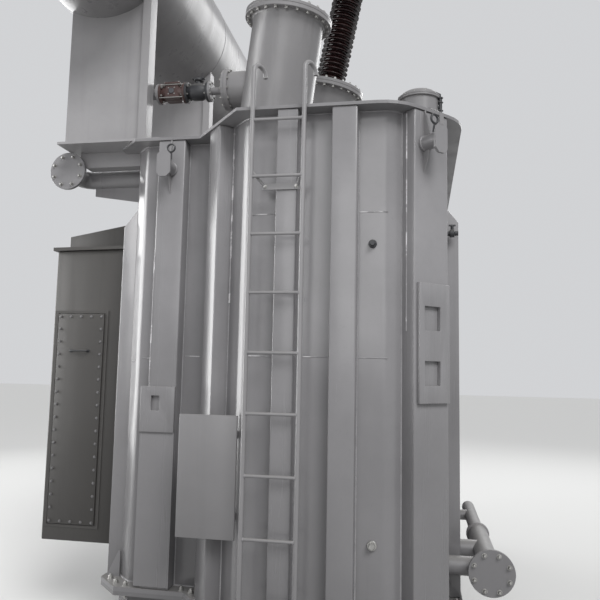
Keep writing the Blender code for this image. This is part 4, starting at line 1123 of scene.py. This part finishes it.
HEADER_FLANGE_RADIUS = 0.158
HEADER_FLANGE = 0.03
HEADER_EDGE = 0.002
HEADER_BOLTS = 8
PIPE_START = 0.02
BACK_BOLT = 0.022
UPPER_Z = 3.765
UPPER_RUN = 0.31
UPPER_BEND = 0.10
UPPER_RADIUS = 0.075
UPPER_BOLT_RADIUS = 0.125
UPPER_BOLT = 0.024
JOINT_BEAD = (0.46, 0.003)
BRACKET_TOP = 0.068
BRACKET_LENGTH = 0.53
BRACKET_DEEP = 0.155
BRACKET_SHALLOW = 0.075
BRACKET_HALF = 0.007
LOWER_Z = 0.77
LOWER_JOINT = 1.15
LOWER_RADIUS = 0.080
LOWER_COLLAR = 0.095
LOWER_THIN = 0.060
LOWER_BOLT_RADIUS = 0.127
LOWER_BOLT = 0.026
GASKET_HALF = 0.0006
SIDE_RIB_PITCH = 0.62
SIDE_RIB_HALF = 0.10
BRANCH_RADIUS = 0.066
BRANCH_CLEAR = 0.015
DRAIN_RADIUS = 0.048
# Place along the tank and radius of each branch into the tank
LOWER_BRANCHES = (
    (-2.5 * SIDE_RIB_PITCH - SIDE_RIB_HALF - BRANCH_RADIUS - BRANCH_CLEAR, BRANCH_RADIUS),
    (-2 * SIDE_RIB_PITCH, BRANCH_RADIUS),
    (0.0, DRAIN_RADIUS),
)


def upper_header_pieces():
    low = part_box("upper_header")[0]
    x = low.x + HEADER_FLANGE_RADIUS
    z = UPPER_Z
    pipe_y = low.y + UPPER_RUN
    back = along((x, low.y + HEADER_FLANGE, z), BACK)
    face = along((x, low.y + HEADER_FLANGE, z), FRONT)
    bm = bmesh.new()
    tube(bm, bend_path((x, low.y + PIPE_START, z), (x, pipe_y, z), (-WALL_X - GAP, pipe_y, z), UPPER_BEND),
         UPPER_RADIUS, PIPE_STEPS)
    disc(bm, face, HEADER_FLANGE_RADIUS, 0, HEADER_FLANGE, HEADER_EDGE, FLANGE_STEPS)
    top = z - BRACKET_TOP
    root = -WALL_X - 2 * GAP
    tip = root - BRACKET_LENGTH
    prism(bm, [(tip, top - BRACKET_SHALLOW), (root, top - BRACKET_DEEP), (root, top), (tip, top)],
          -pipe_y - BRACKET_HALF, -pipe_y + BRACKET_HALF, UPRIGHT)
    piece("upper_header_pipe", bm, "pipe", node="upper_header")
    bolts = bmesh.new()
    bolt_ring(bolts, face, UPPER_BOLT_RADIUS, HEADER_BOLTS, UPPER_BOLT, HEADER_FLANGE, dome=True)
    bolt_ring(bolts, back, UPPER_BOLT_RADIUS, HEADER_BOLTS, BACK_BOLT)
    piece("upper_header_bolts", bolts, "bolt")
    welds = bmesh.new()
    wall = along((-WALL_X, pipe_y, z), LEFT)
    for place, bead in ((wall, WALL_BEAD), (wall, JOINT_BEAD), (back, FLANGE_BEAD)):
        seam_ring(welds, place, UPPER_RADIUS, *bead, PIPE_STEPS)
    piece("upper_header_welds", welds, "weld")


def lower_header_pieces():
    low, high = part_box("lower_header")
    x = high.x - HEADER_FLANGE_RADIUS
    z = LOWER_Z
    length = high.y - low.y
    joint = LOWER_JOINT
    place = along((x, low.y, z), BACK)
    bm = bmesh.new()
    disc(bm, place, HEADER_FLANGE_RADIUS, 0, HEADER_FLANGE / 2 - GASKET_HALF, HEADER_EDGE, FLANGE_STEPS)
    disc(bm, place, HEADER_FLANGE_RADIUS - 0.001, HEADER_FLANGE / 2 + GASKET_HALF, HEADER_FLANGE, HEADER_EDGE,
         FLANGE_STEPS)
    lathe(bm, [(LOWER_RADIUS, 0.01), (LOWER_RADIUS, joint - 0.045), (LOWER_COLLAR, joint - 0.03),
               (LOWER_COLLAR, joint - 0.002), (LOWER_COLLAR - 0.002, joint), (LOWER_THIN, joint),
               (LOWER_THIN, length - 0.004), (LOWER_THIN - 0.004, length)], place, FLANGE_STEPS)
    reach = x - WALL_X - GAP
    rise, size = WALL_BEAD
    welds = bmesh.new()
    for y, radius in LOWER_BRANCHES:
        branch = along((x, y, z), LEFT)
        lathe(bm, [(radius, 0), (radius, reach)], branch, PIPE_STEPS)
        seam_ring(welds, branch, radius, reach - rise, size, PIPE_STEPS)
    piece("lower_header_pipe", bm, "pipe", node="lower_header")
    rise, size = FLANGE_BEAD
    seam_ring(welds, place, LOWER_RADIUS, HEADER_FLANGE + rise, size, FLANGE_STEPS)
    piece("lower_header_welds", welds, "weld")
    bolts = bmesh.new()
    bolt_ring(bolts, along((x, low.y, z), FRONT), LOWER_BOLT_RADIUS, HEADER_BOLTS, LOWER_BOLT, dome=True)
    bolt_ring(bolts, along((x, low.y + HEADER_FLANGE, z), BACK), LOWER_BOLT_RADIUS, HEADER_BOLTS, BACK_BOLT)
    piece("lower_header_bolts", bolts, "bolt")


# Ladder

LADDER_X = 0.121
LADDER_HALF = 0.356 / 2
LADDER_OUT = 0.05
LADDER_Y = -HALF_LENGTH - LADDER_OUT
STILE_RADIUS = 0.016
STILE_STEPS = 20
RUNG_RADIUS = 0.011
RUNG_STEPS = 14
RUNG_SET = 0.003
RUNG_LOWEST = 0.667
RUNG_PITCH = 0.393
RUNG_COUNT = 9
RUNG_WELD = 0.004
LADDER_FOOT = 0.22
LADDER_TOP = 4.22
HOOK_RADIUS = 0.065
HOOK_TURN = radians(25)
HOOK_STEPS = 16
LADDER_TIE_LOW = 0.33
LADDER_TIE_HIGH = 3.46
TIE_RADIUS = 0.010
LADDER_BAR = 0.012
LADDER_BAR_X = (0.01, 0.27)
LADDER_BAR_Z = (3.337, 3.379)
LADDER_BAR_MIDDLE = (0.14, 3.358)
LADDER_TIE_HALF = 0.110
LADDER_BOLT_X = (0.033, 0.247)
LADDER_BOLT = 0.020


def ladder_pieces():
    bm = bmesh.new()
    welds = bmesh.new()
    bolts = bmesh.new()
    rung_y = LADDER_Y - RUNG_SET
    face = WALL_FRONT - RIB_DEPTH - 2 * GAP
    bar_x, bar_z = LADDER_BAR_MIDDLE
    for side in (-1, 1):
        x = LADDER_X + side * LADDER_HALF
        path = [(x, LADDER_Y, LADDER_FOOT)]
        for k in range(HOOK_STEPS + 1):
            turn = pi * k / HOOK_STEPS
            reach = HOOK_RADIUS * (1 - cos(turn))
            path.append((x + reach * sin(HOOK_TURN), LADDER_Y + reach * cos(HOOK_TURN),
                         LADDER_TOP - HOOK_RADIUS + HOOK_RADIUS * sin(turn)))
        tube(bm, path, STILE_RADIUS, STILE_STEPS)
        tie_x = bar_x + side * LADDER_TIE_HALF
        for points in (((x, LADDER_Y, LADDER_TIE_LOW), (x, WALL_FRONT - GAP, LADDER_TIE_LOW)),
                       ((x, LADDER_Y, LADDER_TIE_HIGH), (tie_x, face - LADDER_BAR, bar_z))):
            tube(bm, points, TIE_RADIUS, WASHER_STEPS)
    for i in range(RUNG_COUNT):
        z = RUNG_LOWEST + i * RUNG_PITCH
        rung = [Vector((LADDER_X + side * LADDER_HALF, rung_y, z)) for side in (-1, 1)]
        tube(bm, rung, RUNG_RADIUS, RUNG_STEPS)
        for end, inward in zip(rung, (RIGHT, LEFT)):
            seam_ring(welds, along(end + STILE_RADIUS * inward, inward), RUNG_RADIUS, 0.0, RUNG_WELD,
                      WASHER_STEPS)
    slab(bm, LADDER_BAR_X, (face - LADDER_BAR, face), LADDER_BAR_Z)
    for x in LADDER_BOLT_X:
        bolt(bolts, along((x, face - LADDER_BAR, bar_z), FRONT), LADDER_BOLT)
    piece("ladder_frame", bm, "fitting", node="ladder")
    piece("ladder_welds", welds, "weld")
    piece("ladder_bolts", bolts, "bolt")


# Cable box

PANEL_MARGIN = 0.022
PANEL_COLUMNS = 4
PANEL_ROWS = 16
PANEL_BOLT = 0.018
HANDLE_Z = 2.26
HANDLE_HALF = 0.08
HANDLE_REACH = 0.035
HANDLE_BEND = 0.018
HANDLE_RADIUS = 0.007
HANDLE_FOOT_RADIUS = 0.016
HANDLE_FOOT = 0.004
STRIP_IN = 0.008
STRIP_OUT = 0.035
STRIP_END = 0.03
STRIP_SPAN = (-0.006, 0.002)
STRIP_WIDTH = 0.03
STRIP_MARGIN = 0.02
STRIP_TOP = 3.10
STRIP_LEVELS = (1.9, 3.07)


def panel_bolts(low, high):
    left, right = low.x + PANEL_MARGIN, high.x - PANEL_MARGIN
    foot, top = low.z + PANEL_MARGIN, high.z - PANEL_MARGIN
    columns = [left + (right - left) * i / PANEL_COLUMNS for i in range(PANEL_COLUMNS + 1)]
    rows = [foot + (top - foot) * i / PANEL_ROWS for i in range(1, PANEL_ROWS)]
    bm = bmesh.new()
    for x, z in [(x, z) for x in columns for z in (foot, top)] + [(x, z) for z in rows for x in (left, right)]:
        bolt(bm, along((x, low.y, z), FRONT), PANEL_BOLT, shank=False)
    piece("cable_box_bolts", bm, "skid")


def panel_handle(low, high):
    """A bow handle with a foot at each end."""
    bm = bmesh.new()
    middle = Vector(((low.x + high.x) / 2, low.y, HANDLE_Z))
    ends = [middle + side * HANDLE_HALF * RIGHT for side in (-1, 1)]
    first, last = [bend_path(end, end + HANDLE_REACH * FRONT, middle + HANDLE_REACH * FRONT, HANDLE_BEND, 6)
                   for end in ends]
    tube(bm, first + list(reversed(last[:-1])), HANDLE_RADIUS, WASHER_STEPS)
    for end in ends:
        disc(bm, along(end, FRONT), HANDLE_FOOT_RADIUS, 0, HANDLE_FOOT, HANDLE_FOOT / 4, SMALL_STEPS)
    piece("cable_box_handle", bm, "dark")


def box_frames(low, high):
    """The flat frames round the panel and on the box's left side."""
    box_low, box_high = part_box("cable_box")
    front = [box_low.y + out for out in STRIP_SPAN]
    side = [box_low.x + out for out in STRIP_SPAN]
    bm = bmesh.new()
    for x in (low.x - STRIP_OUT, high.x + STRIP_IN):
        slab(bm, (x, x + STRIP_OUT - STRIP_IN), front, (low.z - STRIP_END, high.z + STRIP_END))
    for z in (low.z - STRIP_END, high.z + STRIP_IN):
        slab(bm, (low.x - STRIP_IN, high.x + STRIP_IN), front, (z, z + STRIP_END - STRIP_IN))
    inner = STRIP_MARGIN + STRIP_WIDTH
    foot = box_low.z + STRIP_MARGIN
    for y in (box_low.y + STRIP_MARGIN, box_high.y - inner):
        slab(bm, side, (y, y + STRIP_WIDTH), (foot, STRIP_TOP))
    for z in (foot,) + STRIP_LEVELS:
        slab(bm, side, (box_low.y + inner, box_high.y - inner), (z, z + STRIP_WIDTH))
    piece("cable_box_frames", bm, "box", smooth=False)


def cable_box_pieces():
    low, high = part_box("cable_box_panel")
    panel_bolts(low, high)
    panel_handle(low, high)
    box_frames(low, high)


# Welds and plate seams of the tank

RIB_WELD = 0.0065
SIDE_RIB_WELD = 0.006
WALL_WELD = 0.007
WALL_WELD_RISE = 0.003
RIB_WELD_END = 0.004
SIDE_RIB_DROP = 0.49
SEAM_LOW = 2.22
SEAM_HIGH = 3.20
SEAM_SINK = 0.001
SEAM_RADIUS = 0.0045
SIDE_SEAM_RADIUS = 0.004
SIDE_SEAM_Y = (-1.0, 1.5)
# Plan of both ends and the heights of each level seam in the front plates
LEVEL_SEAMS = (
    ((-1.190, -1.796), (-1.146, -1.840), (2.18,)),
    ((-1.07, WALL[1][1]), (-0.97, WALL[1][1]), (2.20,)),
    ((-0.72, WALL[1][1]), (-0.60, WALL[1][1]), (SEAM_LOW,)),
    ((-0.10, WALL_FRONT), (0.095, WALL_FRONT), (SEAM_LOW, SEAM_HIGH)),
    ((0.255, WALL_FRONT), (0.472, WALL_FRONT), (SEAM_LOW,)),
    ((0.66, WALL_FRONT), (0.85, WALL_FRONT), (SEAM_LOW, SEAM_HIGH)),
)
# Plan, span of height and radius of each upright seam
UPRIGHT_SEAMS = (
    ((0.972, -2.338), (2.40, Z_RIM - 0.02), 0.0055),
    ((-0.955, -2.000), (2.02, 3.00), 0.0045),
    ((-0.285, -2.201), (2.60, Z_RIM - 0.05), 0.0070),
    ((0.098, -2.3735), (0.75, 2.60), 0.0060),
)


def wall_distance(point):
    """How far a place in plan lies from the tank wall's outline."""
    distances = []
    for i, start in enumerate(WALL):
        a = Vector(start)
        run = Vector(WALL[(i + 1) % len(WALL)]) - a
        share = min(1, max(0, (Vector(point) - a).dot(run) / run.length_squared))
        distances.append((Vector(point) - a - share * run).length)
    return min(distances)


def rib_feet():
    """The two corners of each box rib that lie nearest the wall, in plan."""
    feet = []
    for node in RIBS:
        corners = sorted({(round(v.co.x, 4), round(v.co.y, 4)) for v in NODES[node].data.vertices},
                         key=wall_distance)
        feet += corners[:2]
    return feet


def weld_lines():
    """Fillet welds down both sides of each rib, and round the wall at the flange and the rim."""
    bm = bmesh.new()
    low, high = Z_BELL + RIB_WELD_END, Z_RIM - RIB_WELD_END
    for x, y in rib_feet():
        tube(bm, [(x, y, low), (x, y, high)], RIB_WELD)
    for node, side in (("left_wall", -1), ("right_wall", 1)):
        verts = [v.co for v in NODES[node].data.vertices]
        for y in sorted({round(v.y, 3) for v in verts if abs(v.x) > WALL_X + RIB_DEPTH / 2}):
            tube(bm, [(side * WALL_X, y, low), (side * WALL_X, y, Z_RIM - SIDE_RIB_DROP)], SIDE_RIB_WELD)
    outline = rounded(WALL, WALL_BENDS)
    for z in (Z_BELL + WALL_WELD_RISE, Z_RIM - WALL_WELD_RISE):
        tube(bm, [(x, y, z) for x, y in outline], WALL_WELD, closed=True)
    piece("tank_welds", bm, "weld")


def plate_seams():
    """Butt welds across the front plates, broken by the ribs, upright ones at the bends, and side seams."""
    bm = bmesh.new()
    for (x0, y0), (x1, y1), heights in LEVEL_SEAMS:
        for z in heights:
            tube(bm, [(x0, y0 + SEAM_SINK, z), (x1, y1 + SEAM_SINK, z)], SEAM_RADIUS)
    for (x, y), (low, high), radius in UPRIGHT_SEAMS:
        tube(bm, [(x, y, low), (x, y, high)], radius)
    for z in (SEAM_LOW, SEAM_HIGH):
        for x in (-WALL_X, WALL_X):
            tube(bm, [(x, y, z) for y in SIDE_SEAM_Y], SIDE_SEAM_RADIUS)
    piece("plate_seams", bm, "bead")


# Small fittings on the tank

# Name, material, place on the front wall and radius
BOSSES = (("lower_boss", "bolt", 0.76, 1.03, 0.032), ("upper_boss", "dark", 0.75, 2.98, 0.028))
SIDE_COCK = (-1.72, 3.18)
GUSSET_HEIGHT = 0.19
GUSSET_REACH = 0.10
GUSSET_NOSE = 0.015
GUSSET_HALF = 0.006
GUSSET_SINK = 0.005
GUSSET_FOOT_SINK = 0.0005
GUSSET_BACK = 0.02
TRUNNION_SET = 0.085
TRUNNION_RADIUS = 0.05
WEB_HALF = 0.005
WEB_REACH = 0.055
WEB_INNER = 0.046
WEB_OUTER = 0.062
WEB_DROP = 0.21
WEB_TOP = 0.014
RIM_CLEAR = 0.002
RING_RADIUS = 0.030
RING_BAR = 0.0075
RING_STEPS = 20
RING_OUT = 0.066
RING_RISE = 0.118
RING_SHIFTS = (("front_left", 0.052), ("front_right", -0.055))
HANGER_TOP = 0.032
HANGER_FOOT = 0.085
HANGER_LEAN = 0.012
HANGER_RADIUS = 0.007
STRAP_HALF = 0.018
STRAP_THICK_HALF = 0.004
STRAP_OUT = 0.075
STRAP_FOOT = 0.09
STRAP_UPRIGHT = 0.08
STRAP_BACK = 0.10


def wall_bosses():
    """Plugged sampling bosses on the front wall, with a small cock on the right side."""
    for name, mat, x, z, radius in BOSSES:
        bm = bmesh.new()
        place = along((x, WALL_FRONT, z), FRONT)
        lathe(bm, [(radius, -0.002), (radius, 0.016), (radius - 0.003, 0.019)], place, 32)
        lathe(bm, [(0.72 * radius, 0.018), (0.72 * radius, 0.042), (0.6 * radius, 0.046)], place, 6)
        piece(name, bm, mat)
    cock = bmesh.new()
    y, z = SIDE_COCK
    lathe(cock, [(0.020, -0.002), (0.020, 0.05), (0.030, 0.055), (0.030, 0.085), (0.018, 0.090),
                 (0.018, 0.115)], along((WALL_X, y, z), RIGHT), 24)
    disc(cock, at(WALL_X + 0.07, y, z + 0.01), 0.012, 0, 0.05, 0.002, SMALL_STEPS)
    slab(cock, (WALL_X + 0.045, WALL_X + 0.095), (y - 0.008, y + 0.008), (z + 0.056, z + 0.066), 0.002)
    piece("side_cock", cock, "dark")


def flange_gusset():
    """The gusset on the bell's flange beside the left front corner."""
    bm = bmesh.new()
    outline = [(0, 0), (GUSSET_REACH, 0), (GUSSET_REACH, GUSSET_NOSE), (GUSSET_NOSE, GUSSET_HEIGHT),
               (0, GUSSET_HEIGHT)]
    x, y = WALL[0]
    place = Matrix(((-1, 0, 0, x + GUSSET_SINK), (0, 0, 1, y - GUSSET_BACK),
                    (0, 1, 0, Z_BELL - GUSSET_FOOT_SINK), (0, 0, 0, 1)))
    prism(bm, outline, -GUSSET_HALF, GUSSET_HALF, place)
    piece("flange_gusset", bm, "tank", smooth=False)


def trunnion_frame(side):
    """A trunnion's middle, the way that it points, forwards or off its cut corner, and the way across it."""
    low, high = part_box("trunnion_" + side)
    middle = (low + high) / 2
    outward = FRONT
    if side != "front_left":
        outward = Vector((1 if middle.x > 0 else -1, 1 if middle.y > 0 else -1, 0)).normalized()
    return middle, outward, Vector((-outward.y, outward.x, 0))


def trunnion_fittings(webs, rings, side, shift):
    """Webs above and below a front trunnion's shaft, and the ring that hangs by its keeper."""
    middle, outward, across = trunnion_frame(side)
    root = middle - outward * TRUNNION_SET
    place = Matrix(((outward.x, 0, across.x, root.x), (outward.y, 0, across.y, root.y), (0, 1, 0, middle.z),
                    (0, 0, 0, 1)))
    rise = Z_RIM - middle.z - RIM_CLEAR
    upper = [(0, WEB_INNER), (WEB_REACH, WEB_INNER), (WEB_REACH, WEB_OUTER), (WEB_TOP, rise), (0, rise)]
    lower = [(0, -WEB_DROP), (WEB_REACH, -WEB_OUTER), (WEB_REACH, -WEB_INNER), (0, -WEB_INNER)]
    for outline in (upper, lower):
        prism(webs, outline, -WEB_HALF, WEB_HALF, place)
    centre = middle + outward * RING_OUT + across * shift + UP * RING_RISE
    tube(rings, [centre + RING_RADIUS * (c * across + s * UP) for c, s in circle(RING_STEPS)], RING_BAR,
         closed=True)
    tube(rings, [centre - UP * HANGER_TOP, centre - UP * HANGER_FOOT - outward * HANGER_LEAN], HANGER_RADIUS)


def trunnion_strap(webs):
    """The bent strap from the right front trunnion's keeper up to the rim."""
    middle, outward, across = trunnion_frame("front_right")
    start = middle + outward * STRAP_OUT + UP * STRAP_FOOT
    knee = start + UP * STRAP_UPRIGHT
    end = Vector((start.x, start.y, Z_RIM - RIM_CLEAR)) - outward * STRAP_BACK
    for a, b in ((start, knee), (knee, end)):
        run = b - a
        place = at(*a) @ Matrix((across, outward, run.normalized())).transposed().to_4x4()
        slab(webs, (-STRAP_HALF, STRAP_HALF), (-STRAP_THICK_HALF, STRAP_THICK_HALF), (0, run.length),
             place=place)


def trunnion_pieces():
    webs = bmesh.new()
    rings = bmesh.new()
    welds = bmesh.new()
    for side in ("front_left", "front_right", "rear_left", "rear_right"):
        middle, outward, _ = trunnion_frame(side)
        seat = along(middle - outward * TRUNNION_SET + outward * WALL_PLATE, outward)
        seam_ring(welds, seat, TRUNNION_RADIUS, *FOOT_BEAD, 32)
    for side, shift in RING_SHIFTS:
        trunnion_fittings(webs, rings, side, shift)
    trunnion_strap(webs)
    piece("trunnion_webs", webs, "fitting", smooth=False)
    piece("trunnion_rings", rings, "dark")
    piece("trunnion_welds", welds, "weld")


make_camera()
make_stage()
for name, node in NODES.items():
    node.data.materials.clear()
    node.data.materials.append(node_material(name))
folded_plates()
flange_bolts()
turrets()
low_turret_pieces()
conservator_pieces()
support_welds()
relay_pieces()
line_bolts()
valve_piece()
upper_header_pieces()
lower_header_pieces()
ladder_pieces()
cable_box_pieces()
weld_lines()
plate_seams()
wall_bosses()
flange_gusset()
trunnion_pieces()
